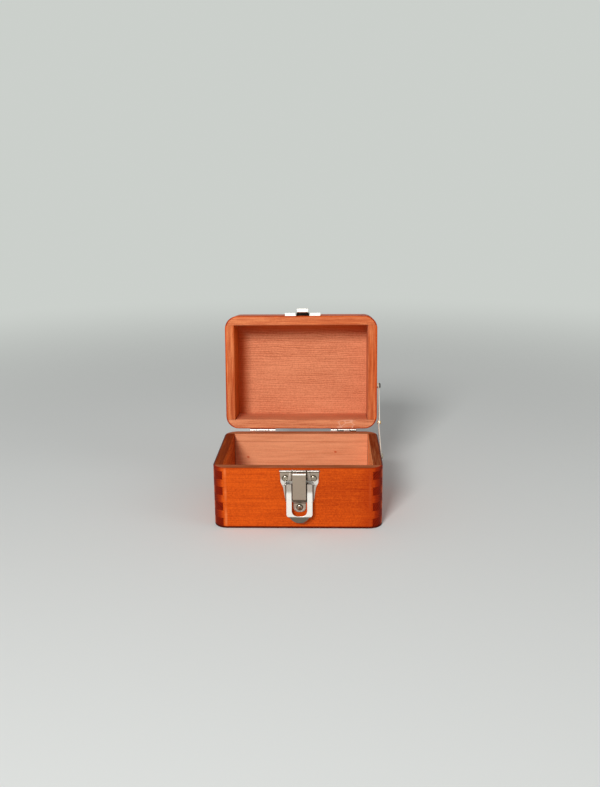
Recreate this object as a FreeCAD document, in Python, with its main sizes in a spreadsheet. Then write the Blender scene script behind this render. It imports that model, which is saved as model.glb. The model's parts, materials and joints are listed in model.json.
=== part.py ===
import FreeCAD, Part
import os
import re
import Sketcher

# Small stained box with finger-jointed corners, a hinged lid, a lever latch and a folding
# lid stay.  The origin is the centre of the underside, +X to the right, +Y to the rear, +Z up.
# The lid is drawn open, leaning back on its stay.  All sizes are in millimetres and degrees.

doc = FreeCAD.newDocument("FingerJointedBox")
sheet = doc.addObject("Spreadsheet::Sheet", "Dims")

DRIVING = {
    # box
    "box_length": 150.0,
    "box_depth": 112.0,
    "wall": 9.0,
    "corner_radius": 12.5,
    "finger_height": 7.25,
    "base_fingers": 7,
    "lid_fingers": 5,
    "bottom_thick": 2.0,
    "bottom_arris": 0.8,
    "top_thick": 4.0,
    "top_arris": 1.6,
    "rim_bevel": 0.5,
    "inner_bevel": 0.4,
    "seam_gap": 0.1,
    "open_angle": 96.5,
    "overcut": 1.0,
    # hinges, all but the inset and the shift measured from the hinge axis
    "hinge_inset": 34.7,
    "hinge_shift": 1.6,
    "hinge_length": 25.4,
    "hinge_back": 1.5,
    "hinge_up": 0.9,
    "leaf_thick": 0.8,
    "leaf_height": 9.6,
    "leaf_corner": 1.0,
    "barrel_gap": 0.25,
    "root_gap": 0.3,
    "knuckle_end": 6.4,
    "knuckle_gap": 0.5,
    "hinge_pin_radius": 0.65,
    "hinge_pin_end": 0.3,
    "pin_play": 0.04,
    "hinge_screw_side": 7.4,
    "hinge_screw_drop": 5.9,
    # screws
    "big_head": 2.7,
    "big_height": 1.5,
    "big_shank": 1.3,
    "big_length": 7.0,
    "big_recess": 1.5,
    "small_head": 2.0,
    "small_height": 1.1,
    "small_shank": 0.95,
    "small_length": 6.0,
    "small_recess": 1.1,
    "recess_slot": 0.6,
    "recess_depth": 0.6,
    "pilot_play": 0.05,
    "pilot_over": 0.4,
    "screw_hole_play": 0.15,
    "screw_taper": 2.0,
    "head_crown": 0.8,
    "pin_bevel": 0.25,
    # latch, measured from the base rim down and from the front face out
    "latch_side": 1.8,
    "metal": 0.8,
    "plate_half": 17.4,
    "flange_drop": 1.5,
    "flange_out": 2.9,
    "flange_slit": 0.8,
    "ear_reach": 12.3,
    "ear_drop": 9.1,
    "ear_low": 12.9,
    "waist_half": 14.5,
    "waist_drop": 17.6,
    "lug_top": 12.4,
    "lug_low": 30.6,
    "lug_gap": 0.15,
    "lug_over": 1.6,
    "foot_half": 5.5,
    "foot_drop": 35.9,
    "foot_low": 40.6,
    "foot_round": 4.4,
    "emboss_half": 6.0,
    "emboss_top": 8.6,
    "emboss_low": 31.6,
    "emboss_out": 1.3,
    "emboss_slope": 0.8,
    "pivot_drop": 14.3,
    "pivot_out": 3.6,
    "pivot_radius": 0.8,
    "pivot_end": 0.5,
    "lever_lean": 5.0,
    "lever_out": 1.4,
    "rail_top": 1.2,
    "rail_width": 4.75,
    "rail_gap": 0.9,
    "slot_low": 27.8,
    "slot_round": 5.0,
    "lever_low": 29.0,
    "lever_round": 3.2,
    "thumb_half": 8.2,
    "thumb_length": 5.6,
    "thumb_round": 9.0,
    "thumb_tuck": 22.0,
    "cheek_back": 1.2,
    "cheek_low": 14.8,
    "arm": 12.7,
    "arm_out": 0.9,
    "tongue_half": 5.8,
    "tongue_eye": 1.5,
    "tongue_gap": 0.4,
    "lip_drop": 2.2,
    "lip_reach": 4.4,
    "lip_dip": 0.95,
    "bend": 0.9,
    # keeper on the lid, measured from the lid rim and the lid's front face
    "hook_half": 5.4,
    "hook_gap": 0.6,
    "hook_trough": 2.5,
    "hook_drop": 6.3,
    "hook_tip": 2.7,
    "keeper_half": 17.4,
    "keeper_side": 7.4,
    "keeper_neck": 11.0,
    "keeper_foot": 0.5,
    "keeper_height": 15.0,
    "arch_height": 8.0,
    "keeper_reach": 12.3,
    "keeper_rise": 6.4,
    # lid stay
    "stay_width": 5.4,
    "link_thick": 0.9,
    "stay_stand": 0.6,
    "link_gap": 0.15,
    "stay_lid_reach": 43.2,
    "stay_lid_rise": 11.6,
    "stay_base_reach": 57.1,
    "stay_base_drop": 7.4,
    "stay_lower_length": 52.6,
    "stay_elbow_bend": 12.7,
    "link_play": 0.06,
    "washer_radius": 2.6,
    "rivet_radius": 1.75,
    "rivet_shank": 1.0,
    "rivet_height": 0.9,
    "rivet_tail": 0.4,
    "rivet_crown": 0.6,
}

DERIVED = {
    "base_frame": "(base_fingers + 0.5) * finger_height",
    "lid_frame": "(lid_fingers + 0.5) * finger_height",
    "rim_level": "bottom_thick + base_frame",
    "hinge_y": "box_depth / 2 + hinge_back",
    "hinge_z": "rim_level + hinge_up",
    "lid_front": "hinge_y + box_depth / 2",
    "lid_rim": "seam_gap - hinge_up",
    "barrel_radius": "hinge_back - barrel_gap",
    "leaf_root": "barrel_radius + root_gap",
    "knuckle_middle": "hinge_length - 2 * (knuckle_end + knuckle_gap)",
    "hinge_span": "box_length - 2 * hinge_inset",
    "hinge_left": "hinge_shift - hinge_span / 2",
    "hinge_right": "hinge_shift + hinge_span / 2",
    "slot_half": "tongue_half + rail_gap",
    "rail_outer": "slot_half + rail_width",
    "lug_inner": "rail_outer + lug_gap",
    "lug_outer": "lug_inner + metal",
    "tongue_out": "pivot_out + arm * sin(lever_lean * 1 deg) + arm_out * cos(lever_lean * 1 deg)",
    "tongue_low": "pivot_drop + arm * cos(lever_lean * 1 deg) - arm_out * sin(lever_lean * 1 deg)",
    "hook_in": "flange_out + hook_gap",
    "hook_out": "hook_in + hook_trough + 2 * metal",
    "strap_out": "hook_out + tongue_gap - tongue_out",
    "strap_up": "tongue_low - hook_drop",
    "strap_reach": "sqrt(strap_out ^ 2 + strap_up ^ 2)",
    "strap_side": "acos((tongue_eye - metal) / strap_reach) / 1 deg",
    "tongue_lean": "strap_side - atan2(strap_up; strap_out) / 1 deg",
    "strap_rise": "tongue_low - lip_drop + tongue_eye * sin(tongue_lean * 1 deg)",
    "strap_top": "strap_rise / cos(tongue_lean * 1 deg)",
    "lid_pin_y": "-stay_lid_reach",
    "lid_pin_z": "lid_rim + stay_lid_rise",
    "lid_cos": "cos(open_angle * 1 deg)",
    "lid_sin": "sin(open_angle * 1 deg)",
    "upper_y": "hinge_y + lid_pin_y * lid_cos + lid_pin_z * lid_sin",
    "upper_z": "hinge_z - lid_pin_y * lid_sin + lid_pin_z * lid_cos",
    "lower_y": "hinge_y - stay_base_reach",
    "lower_z": "rim_level - stay_base_drop",
    "span_y": "upper_y - lower_y",
    "span_z": "upper_z - lower_z",
    "span": "sqrt(span_y ^ 2 + span_z ^ 2)",
    "elbow_along": "sqrt(stay_lower_length ^ 2 - stay_elbow_bend ^ 2)",
    "elbow_y": "lower_y + (elbow_along * span_y + stay_elbow_bend * span_z) / span",
    "elbow_z": "lower_z + (elbow_along * span_z - stay_elbow_bend * span_y) / span",
    "stay_upper_length": "sqrt((span - elbow_along) ^ 2 + stay_elbow_bend ^ 2)",
    "lower_angle": "atan2(elbow_z - lower_z; elbow_y - lower_y) / 1 deg",
    "upper_angle": "atan2(elbow_z - upper_z; elbow_y - upper_y) / 1 deg",
    "lower_layer": "box_length / 2 + stay_stand",
    "upper_layer": "lower_layer + link_thick + link_gap",
    "upper_stand": "upper_layer - box_length / 2",
}

# How near two places, in millimetres, count as the same one.
NEAR = 1e-4

FUNCTIONS = {"sin", "cos", "tan", "sqrt", "acos", "atan2", "floor", "ceil", "deg"}


def fill_sheet():
    """Write every driving size and every worked-out size as a cell with an alias."""
    row = 1
    for name, size in DRIVING.items():
        sheet.set(f"A{row}", name)
        sheet.set(f"B{row}", str(size))
        sheet.setAlias(f"B{row}", name)
        row += 1
    for name, formula in DERIVED.items():
        sheet.set(f"A{row}", name)
        sheet.set(f"B{row}", "=" + formula)
        sheet.setAlias(f"B{row}", name)
        row += 1
    doc.recompute()


def bound(text):
    """An expression in sheet names, as other objects of the document have to spell it."""
    def spell(found):
        word = found.group(0)
        return word if word in FUNCTIONS else "Dims." + word
    return re.sub(r"[a-z][a-z_0-9]*", spell, str(text))


def value(text):
    """What an expression in sheet names comes to now."""
    return float(sheet.evalExpression(bound(text)))


# ---- sketches ---------------------------------------------------------------------------

def sketch(body, plane, shift="0"):
    """A sketch on one of the body's own origin planes, moved along that plane's normal.
    XY looks along +Z, XZ along -Y (out of the front) and YZ along +X."""
    made = body.newObject("Sketcher::SketchObject", "Sketch")
    for feature in body.Origin.OriginFeatures:
        if feature.Role == plane + "_Plane":
            made.AttachmentSupport = [(feature, "")]
    made.MapMode = "FlatFace"
    made.setExpression("AttachmentOffset.Base.z", bound(shift))
    return made


def pin_point(made, edge, end, across, up):
    """Hold one end of an edge at signed distances from the sketch's origin."""
    first = made.addConstraint(Sketcher.Constraint("DistanceX", -1, 1, edge, end, value(across)))
    made.setExpression(f"Constraints[{first}]", bound(across))
    second = made.addConstraint(Sketcher.Constraint("DistanceY", -1, 1, edge, end, value(up)))
    made.setExpression(f"Constraints[{second}]", bound(up))


def polygon(made, corners):
    """A closed outline whose corners are pairs of expressions."""
    places = [FreeCAD.Vector(value(across), value(up), 0) for across, up in corners]
    first = made.GeometryCount
    count = len(corners)
    for index in range(count):
        line = Part.LineSegment(places[index], places[(index + 1) % count])
        made.addGeometry(line, False)
    for index in range(count):
        after = first + (index + 1) % count
        made.addConstraint(Sketcher.Constraint("Coincident", first + index, 2, after, 1))
    for index, (across, up) in enumerate(corners):
        pin_point(made, first + index, 1, across, up)
    return made


def rectangle(made, left, right, low, high):
    """A rectangle between four signed distances."""
    return polygon(made, [(left, low), (right, low), (right, high), (left, high)])


def mirrored(half, centre="0"):
    """A closed outline from its right half, mirrored about an upright middle line."""
    right = [(f"({centre}) + ({across})", up) for across, up in half]
    left = [(f"({centre}) - ({across})", up) for across, up in reversed(half)]
    return right + left


def circle(made, across, up, radius):
    """A circle with its centre and radius held by expressions."""
    centre = FreeCAD.Vector(value(across), value(up), 0)
    ring = Part.Circle(centre, FreeCAD.Vector(0, 0, 1), value(radius))
    edge = made.addGeometry(ring, False)
    size = made.addConstraint(Sketcher.Constraint("Radius", edge, value(radius)))
    made.setExpression(f"Constraints[{size}]", bound(radius))
    pin_point(made, edge, 3, across, up)
    return made


# ---- features ---------------------------------------------------------------------------

def new_body(label):
    """An empty body whose label is the node's name."""
    body = doc.addObject("PartDesign::Body", label)
    body.Label = label
    return body


def axis_of(body, letter):
    """One of the body's own origin axes."""
    for feature in body.Origin.OriginFeatures:
        if feature.Role == letter + "_Axis":
            return feature
    raise ValueError("no axis " + letter)


def extrude(body, kind, profile, length, side, flip):
    """A Pad or Pocket of a sketch, with its length bound to an expression."""
    feature = body.newObject("PartDesign::" + kind, kind)
    feature.Profile = profile
    feature.SideType = side
    feature.Reversed = flip
    feature.setExpression("Length", bound(length))
    profile.Visibility = False
    doc.recompute()
    return feature


def pad(body, profile, length, both=False, flip=False):
    """Add the sketch's outline, along its normal or to both sides of it."""
    before = body.Shape.Volume if body.Tip else 0.0
    side = "Symmetric" if both else "One side"
    feature = extrude(body, "Pad", profile, length, side, flip)
    if feature.Shape.Volume <= before:
        raise RuntimeError(f"{body.Label}: a pad added nothing")
    return feature


def cut(body, profile, length, both=False, flip=False):
    """Take the sketch's outline away, against its normal or to both sides of it."""
    before = body.Shape.Volume
    side = "Symmetric" if both else "One side"
    feature = extrude(body, "Pocket", profile, length, side, flip)
    if feature.Shape.Volume >= before:
        raise RuntimeError(f"{body.Label}: a pocket cut nothing")
    return feature


def repeat(body, originals, letter, spacing, count, back=False):
    """Copies of features in a row along one of the body's axes."""
    row = body.newObject("PartDesign::LinearPattern", "Row")
    row.Originals = originals
    row.Direction = (axis_of(body, letter), [""])
    row.Reversed = back
    row.Mode = "Spacing"
    row.setExpression("Offset", bound(spacing))
    row.setExpression("Occurrences", bound(count))
    body.Tip = row
    doc.recompute()
    return row


def soften(body, kind, size, chosen):
    """A Fillet or Chamfer on the edges of the body's tip that the test picks out."""
    tip = body.Tip
    names = [f"Edge{index}" for index, edge in enumerate(tip.Shape.Edges, 1) if chosen(edge)]
    if not names:
        raise RuntimeError(f"{body.Label}: no edge to soften")
    feature = body.newObject("PartDesign::" + kind, kind)
    feature.Base = (tip, names)
    feature.setExpression("Radius" if kind == "Fillet" else "Size", bound(size))
    doc.recompute()
    return feature


def runs_along(edge, letter):
    """Whether a straight edge is parallel to the axis."""
    if edge.Curve.TypeId != "Part::GeomLine":
        return False
    return abs(abs(getattr(edge.Curve.Direction, letter)) - 1) < NEAR


def lies_at(edge, letter, place):
    """Whether all of an edge lies at one place along the axis."""
    box = edge.BoundBox
    low = getattr(box, letter.upper() + "Min")
    high = getattr(box, letter.upper() + "Max")
    return abs(low - place) < NEAR and abs(high - place) < NEAR


def middle(edge):
    """The middle of an edge's box."""
    return edge.BoundBox.Center


# ---- placements -------------------------------------------------------------------------

AXES = {"x": FreeCAD.Vector(1, 0, 0), "y": FreeCAD.Vector(0, 1, 0), "z": FreeCAD.Vector(0, 0, 1)}


def place(piece, across="0", deep="0", up="0", turn="0", about="x"):
    """Bind an object's place, and its turn about one axis, to the sheet."""
    # The seed angle keeps the axis of a turn whose angle comes from the sheet.
    piece.Placement = FreeCAD.Placement(FreeCAD.Vector(), FreeCAD.Rotation(AXES[about], 1))
    piece.setExpression("Placement.Base.x", bound(across))
    piece.setExpression("Placement.Base.y", bound(deep))
    piece.setExpression("Placement.Base.z", bound(up))
    piece.setExpression("Placement.Rotation.Angle", bound(f"({turn}) * 1 deg"))


def place_on_lid(piece):
    """Lid pieces are drawn as on the closed box, from the hinge axis, and swung open."""
    place(piece, "0", "hinge_y", "hinge_z", "-open_angle")


FINISHED = []


def finish(piece):
    """Keep a piece as a node of its own."""
    FINISHED.append(piece)
    return piece


# ---- wood -------------------------------------------------------------------------------

def rounded_block(body, deep, low, height):
    """A block with the box's outline, centred at a depth, with its upright edges rounded."""
    half_y = "box_depth / 2"
    outline = rectangle(sketch(body, "XY", low), "-box_length / 2", "box_length / 2",
                        f"{deep} - {half_y}", f"{deep} + {half_y}")
    pad(body, outline, height)
    soften(body, "Fillet", "corner_radius", lambda edge: runs_along(edge, "z"))


def board(label, side, on_lid):
    """One wall of the base or of the lid: front and rear boards run the full length and
    own the finger cut through by the seam, and the end boards fill the rows between."""
    body = new_body(label)
    deep = "(-hinge_y)" if on_lid else "0"
    rim = "lid_rim" if on_lid else "rim_level"
    frame = "lid_frame" if on_lid else "base_frame"
    fingers = "lid_fingers" if on_lid else "base_fingers"
    rounded_block(body, deep, rim if on_lid else "bottom_thick", frame)
    soften(body, "Chamfer", "rim_bevel", lambda edge: lies_at(edge, "z", value(rim)))

    long_board = side in ("front", "rear")
    half_x, half_y = "box_length / 2", "box_depth / 2"
    wide = [f"-{half_x} - overcut", f"{half_x} + overcut"]
    depth = [f"{deep} - {half_y} - overcut", f"{deep} + {half_y} + overcut"]
    inner = {"front": (*wide, f"{deep} - {half_y} + wall", depth[1]),
             "rear": (*wide, depth[0], f"{deep} + {half_y} - wall"),
             "left": (f"-{half_x} + wall", wide[1], *depth),
             "right": (wide[0], f"{half_x} - wall", *depth)}[side]
    middle_level = f"{rim} + {frame} / 2" if on_lid else f"{rim} - {frame} / 2"
    through = f"{frame} + 2 * overcut"
    cut(body, rectangle(sketch(body, "XY", middle_level), *inner), through, both=True)

    # The first row of sockets is centred on the seam for an end board, which gives it the
    # half finger there, and one finger away from the seam for a front or rear board.
    away = "+" if on_lid else "-"
    first = f"{rim} {away} finger_height" if long_board else rim
    sockets = sketch(body, "XY", first)
    if long_board:
        rectangle(sockets, wide[0], f"-{half_x} + wall", *depth)
        rectangle(sockets, f"{half_x} - wall", wide[1], *depth)
        rows = f"ceil({fingers} / 2)"
    else:
        rectangle(sockets, *wide, depth[0], f"{deep} - {half_y} + wall")
        rectangle(sockets, *wide, f"{deep} + {half_y} - wall", depth[1])
        rows = f"floor({fingers} / 2) + 1"
    socket = cut(body, sockets, "finger_height", both=True)
    repeat(body, [socket], "Z", "2 * finger_height", rows, back=not on_lid)

    # A small bevel along the rim's inner edge, between the neighbouring boards.
    sign = "+" if on_lid else "-"
    lip = f"{rim} {sign} inner_bevel"
    if long_board:
        edge = f"{deep} - {half_y} + wall" if side == "front" else f"{deep} + {half_y} - wall"
        into = "-" if side == "front" else "+"
        profile = sketch(body, "YZ")
        polygon(profile, [(edge, lip), (edge, rim), (f"{edge} {into} inner_bevel", rim)])
        cut(body, profile, "box_length - 2 * wall", both=True)
    else:
        edge = f"-{half_x} + wall" if side == "left" else f"{half_x} - wall"
        into = "-" if side == "left" else "+"
        profile = sketch(body, "XZ", f"-({deep})")
        polygon(profile, [(edge, lip), (edge, rim), (f"{edge} {into} inner_bevel", rim)])
        cut(body, profile, "box_depth - 2 * wall", both=True)
    return body


def pilot_holes(body, side, places, size, seat, on_lid):
    """Holes for the shanks of the screws that come in through a wall's outer face."""
    deep = "(-hinge_y)" if on_lid else "0"
    plane, shift, flip = {"front": ("XZ", f"box_depth / 2 - {deep}", False),
                          "rear": ("XZ", f"-box_depth / 2 - {deep}", True),
                          "right": ("YZ", "box_length / 2", False)}[side]
    holes = sketch(body, plane, shift)
    for across, up in places:
        circle(holes, across, up, f"{size}_shank + pilot_play")
    cut(body, holes, f"{size}_length - ({seat}) + pilot_over", flip=flip)


def panel(label, on_lid):
    """The thin board that closes the frame: its outer edge all round is a soft arris."""
    body = new_body(label)
    if on_lid:
        rounded_block(body, "(-hinge_y)", "lid_rim + lid_frame", "top_thick")
        level = value("lid_rim + lid_frame + top_thick")
        soften(body, "Fillet", "top_arris", lambda edge: lies_at(edge, "z", level))
        place_on_lid(body)
    else:
        rounded_block(body, "0", "0", "bottom_thick")
        soften(body, "Fillet", "bottom_arris", lambda edge: lies_at(edge, "z", 0))
    return finish(body)


# ---- screws and pins --------------------------------------------------------------------

def screw(label, size, across, deep, up, turn, about="x"):
    """A pan-head cross-recess wood screw, drawn with its head's seat at the origin and its
    shank down -Z, then turned to point into the wood."""
    body = new_body(label)
    shank, length = f"{size}_shank", f"{size}_length"
    head, height = f"{size}_head", f"{size}_height"
    profile = polygon(sketch(body, "XZ"), [
        ("0", f"-{length}"), (shank, f"-{length} + screw_taper * {shank}"), (shank, "0"),
        (head, "0"), (head, height), ("0", height)])
    turned = body.newObject("PartDesign::Revolution", "Revolution")
    turned.Profile = profile
    turned.ReferenceAxis = (axis_of(body, "Z"), [""])
    turned.Angle = 360
    doc.recompute()
    crown = value(height)
    soften(body, "Fillet", f"head_crown * {height}",
           lambda edge: lies_at(edge, "z", crown) and edge.Curve.TypeId == "Part::GeomCircle")
    arm, slot = f"{size}_recess", "recess_slot / 2"
    recess = polygon(sketch(body, "XY", height), [
        (arm, f"-{slot}"), (arm, slot), (slot, slot), (slot, arm), (f"-{slot}", arm),
        (f"-{slot}", slot), (f"-{arm}", slot), (f"-{arm}", f"-{slot}"),
        (f"-{slot}", f"-{slot}"), (f"-{slot}", f"-{arm}"), (slot, f"-{arm}"),
        (slot, f"-{slot}")])
    cut(body, recess, "recess_depth")
    place(body, across, deep, up, turn, about)
    return body


def group(label, pieces, on_lid=False):
    """Identical fasteners as one node of separate solids."""
    made = doc.addObject("Part::Compound", label)
    made.Label = label
    made.Links = pieces
    if on_lid:
        place_on_lid(made)
    else:
        place(made)
    doc.recompute()
    return finish(made)


def rod(label, radius, length):
    """A plain pin along X with chamfered ends, centred on the origin."""
    body = new_body(label)
    pad(body, circle(sketch(body, "YZ"), "0", "0", radius), length, both=True)
    soften(body, "Chamfer", f"pin_bevel * {radius}",
           lambda edge: edge.Curve.TypeId == "Part::GeomCircle")
    return body


# ---- hinges -----------------------------------------------------------------------------

def hinge_leaf(label, side_x, upwards):
    """A leaf that lies on the rear face, drawn from the hinge axis.  The lid's leaf points up
    on the closed box and carries the middle knuckle, the base's leaf the two outer ones."""
    body = new_body(label)
    away = "" if upwards else "-"
    outer = "-hinge_back + leaf_thick"
    middle_x = side_x if upwards else "0"

    plate = rectangle(sketch(body, "YZ", middle_x), "-hinge_back", outer,
                      *(("leaf_root", "leaf_height") if upwards
                        else ("-leaf_height", "-leaf_root")))
    pad(body, plate, "hinge_length", both=True)
    far = value("leaf_height") * (1 if upwards else -1)
    soften(body, "Fillet", "leaf_corner",
           lambda edge: runs_along(edge, "y") and abs(middle(edge).z - far) < NEAR)

    length = "knuckle_middle" if upwards else "knuckle_end"
    start = f"{middle_x} - knuckle_middle / 2" if upwards else f"{middle_x} - hinge_length / 2"
    web = polygon(sketch(body, "YZ", start), [
        ("-hinge_back", f"{away}leaf_root"), (outer, f"{away}leaf_root"), (outer, "0"),
        ("-barrel_radius", "0")])
    web_pad = pad(body, web, length)
    barrel = circle(sketch(body, "YZ", start), "0", "0", "barrel_radius")
    barrel_pad = pad(body, barrel, length)
    if not upwards:
        repeat(body, [web_pad, barrel_pad], "X", "hinge_length - knuckle_end", "2")

    bore = circle(sketch(body, "YZ", middle_x), "0", "0", "hinge_pin_radius + pin_play")
    cut(body, bore, "hinge_length + 2 * overcut", both=True)
    holes = sketch(body, "XZ", "hinge_back - leaf_thick")
    for sign in ("-", "+"):
        circle(holes, f"{middle_x} {sign} hinge_screw_side", f"{away}hinge_screw_drop",
               "small_shank + screw_hole_play")
    cut(body, holes, "leaf_thick + overcut", flip=True)
    if upwards:
        place_on_lid(body)
    else:
        place(body, side_x, "hinge_y", "hinge_z")
    return finish(body)


def hinges():
    """Two small butt hinges on the rear face, each two leaves and a pin."""
    base_screws = []
    lid_screws = []
    for name, side_x in (("left", "hinge_left"), ("right", "hinge_right")):
        hinge_leaf(f"{name}_hinge_base_leaf", side_x, False)
        hinge_leaf(f"{name}_hinge_lid_leaf", side_x, True)
        pin = rod(f"{name}_hinge_pin", "hinge_pin_radius", "hinge_length + 2 * hinge_pin_end")
        place(pin, side_x, "hinge_y", "hinge_z")
        finish(pin)
        for sign, word in (("-", "outer"), ("+", "inner")):
            across = f"{side_x} {sign} hinge_screw_side"
            base_screws.append(screw(f"{name}_base_{word}_screw", "small", across,
                                     "box_depth / 2 + leaf_thick",
                                     "hinge_z - hinge_screw_drop", "-90"))
            lid_screws.append(screw(f"{name}_lid_{word}_screw", "small", across,
                                    "-hinge_back + leaf_thick", "hinge_screw_drop", "-90"))
    group("hinge_base_screws", base_screws)
    group("hinge_lid_screws", lid_screws, on_lid=True)


def hinge_holes(level):
    """Where the hinge screws enter the wood, at a level above or below the axis."""
    return [(f"{centre} {sign} hinge_screw_side", level)
            for centre in ("hinge_left", "hinge_right") for sign in ("-", "+")]


# ---- latch ------------------------------------------------------------------------------

def latch_plate():
    """The plate on the front face: two ears, a flange under the rim, two lugs that hold the
    lever's pivot, a raised middle and a foot with the third screw."""
    body = new_body("latch_plate")
    outline = mirrored([
        ("foot_half", "-foot_low"), ("foot_half", "-lug_low - metal"),
        ("lug_outer", "-lug_low"), ("waist_half", "-waist_drop"),
        ("plate_half - metal", "-ear_low"), ("plate_half", "-flange_drop")])
    pad(body, polygon(sketch(body, "XZ"), outline), "metal")
    foot = -value("foot_low")
    soften(body, "Fillet", "foot_round",
           lambda edge: runs_along(edge, "y") and abs(middle(edge).z - foot) < NEAR)

    flange = rectangle(sketch(body, "XZ"), "-plate_half", "plate_half",
                       "-flange_drop - metal", "-flange_drop")
    pad(body, flange, "flange_out")
    slits = sketch(body, "XY", "-flange_drop")
    for sign, other in (("-", ""), ("", "-")):
        near, far = f"{sign}tongue_half", f"{sign}(tongue_half + flange_slit)"
        left, right = (far, near) if sign else (near, far)
        rectangle(slits, left, right, "-flange_out - overcut", "-metal")
    cut(body, slits, "metal")

    raised = rectangle(sketch(body, "XZ", "metal"), "-emboss_half", "emboss_half",
                       "-emboss_low", "-emboss_top")
    pad(body, raised, "emboss_out")
    crest = -value("metal + emboss_out")
    soften(body, "Chamfer", "emboss_slope * emboss_out",
           lambda edge: lies_at(edge, "y", crest) and runs_along(edge, "x"))

    for sign in ("-", ""):
        start = "lug_inner" if not sign else "-lug_outer"
        lug = polygon(sketch(body, "YZ", start), [
            ("0", "-lug_top"), ("-pivot_out - lug_over / 2", "-pivot_drop + lug_over"),
            ("-pivot_out - lug_over", "-pivot_drop"),
            ("-pivot_out - lug_over", "-pivot_drop - lug_over"),
            ("-metal - overcut", "-lug_low"), ("0", "-lug_low")])
        pad(body, lug, "metal")
    bore = circle(sketch(body, "YZ"), "-pivot_out", "-pivot_drop", "pivot_radius + pin_play")
    cut(body, bore, "2 * lug_outer + overcut", both=True)

    holes = sketch(body, "XZ", "metal + emboss_out")
    for across, up in (("-ear_reach", "-ear_drop"), ("ear_reach", "-ear_drop"),
                       ("0", "-foot_drop")):
        circle(holes, across, up, "big_shank + screw_hole_play")
    cut(body, holes, "metal + emboss_out + overcut")
    place(body, "latch_side", "-box_depth / 2", "rim_level")
    return finish(body)


def latch_lever():
    """The U-shaped lever, drawn from its pivot: two rails, two cheeks behind them that hold
    both pins, and a round thumb tab at the foot, tucked in towards the wood."""
    body = new_body("latch_lever")
    tuck, far = "thumb_tuck * 1 deg", "thumb_length"
    tip_y, tip_z = f"{far} * sin({tuck})", f"{far} * cos({tuck})"
    skin_y, skin_z = f"metal * cos({tuck})", f"metal * sin({tuck})"
    thumb = polygon(sketch(body, "YZ"), [
        ("-lever_out", "-lever_low + metal / 2"), ("-lever_out", "-lever_low"),
        (f"-lever_out + {tip_y}", f"-lever_low - {tip_z}"),
        (f"-lever_out + {tip_y} - {skin_y}", f"-lever_low - {tip_z} - {skin_z}"),
        ("-lever_out - metal", f"-lever_low - metal * tan({tuck} / 2)"),
        ("-lever_out - metal", "-lever_low + metal / 2")])
    pad(body, thumb, "2 * thumb_half", both=True)
    lowest = f"-lever_low - {tip_z} - {skin_z}"
    outside = rectangle(sketch(body, "XZ", "lever_out"), "-2 * thumb_round", "2 * thumb_round",
                        f"{lowest} - overcut", f"{lowest} + 3 * thumb_round")
    circle(outside, "0", f"{lowest} + thumb_round", "thumb_round")
    cut(body, outside, "4 * thumb_length", both=True)

    frame = rectangle(sketch(body, "XZ", "lever_out"), "-rail_outer", "rail_outer",
                      "-lever_low", "rail_top")
    pad(body, frame, "metal")
    low = -value("lever_low")
    soften(body, "Fillet", "lever_round",
           lambda edge: runs_along(edge, "y") and abs(middle(edge).z - low) < NEAR
           and abs(abs(middle(edge).x) - value("rail_outer")) < NEAR)
    slot = rectangle(sketch(body, "XZ", "lever_out + metal"), "-slot_half", "slot_half",
                     "-slot_low", "rail_top + overcut")
    cut(body, slot, "metal + overcut")
    slot_end = -value("slot_low")
    soften(body, "Fillet", "slot_round",
           lambda edge: runs_along(edge, "y") and abs(middle(edge).z - slot_end) < NEAR)

    for sign in ("-", ""):
        start = "slot_half" if not sign else "-slot_half - metal"
        cheek = polygon(sketch(body, "YZ", start), [
            ("-lever_out", "rail_top"), ("cheek_back", "rail_top"),
            ("cheek_back", "-cheek_low + cheek_back"), ("0", "-cheek_low"),
            ("-lever_out", "-cheek_low")])
        pad(body, cheek, "metal")

    for up, deep in (("0", "0"), ("-arm", "-arm_out")):
        bore = circle(sketch(body, "YZ"), deep, up, "pivot_radius + pin_play")
        cut(body, bore, "2 * (slot_half + metal + overcut)", both=True)
    place(body, "latch_side", "-box_depth / 2 - pivot_out", "rim_level - pivot_drop",
          "-lever_lean")
    return finish(body)


def draw_tongue():
    """The strap that pulls the lid down, drawn from its pin: an eye at the foot and a lip
    at the top that dips towards the wood."""
    body = new_body("draw_tongue")
    inner = "-(tongue_eye - metal)"
    profile = polygon(sketch(body, "YZ"), [
        (inner, "0"), ("-tongue_eye", "0"), ("-tongue_eye", "strap_top"),
        ("-tongue_eye + lip_reach", "strap_top - lip_dip"),
        ("-tongue_eye + lip_reach", "strap_top - lip_dip - metal"),
        (inner, "strap_top - metal - lip_dip * metal / lip_reach")])
    pad(body, profile, "2 * tongue_half", both=True)
    top, skin = value("strap_top"), -value("tongue_eye")
    soften(body, "Fillet", "bend",
           lambda edge: runs_along(edge, "x") and abs(middle(edge).z - top) < NEAR
           and abs(middle(edge).y - skin) < NEAR)
    eye = circle(sketch(body, "YZ"), "0", "0", "tongue_eye")
    pad(body, eye, "2 * tongue_half", both=True)
    bore = circle(sketch(body, "YZ"), "0", "0", "pivot_radius + pin_play")
    cut(body, bore, "2 * (tongue_half + overcut)", both=True)
    place(body, "latch_side", "-box_depth / 2 - tongue_out", "rim_level - tongue_low",
          "tongue_lean")
    return finish(body)


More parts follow.
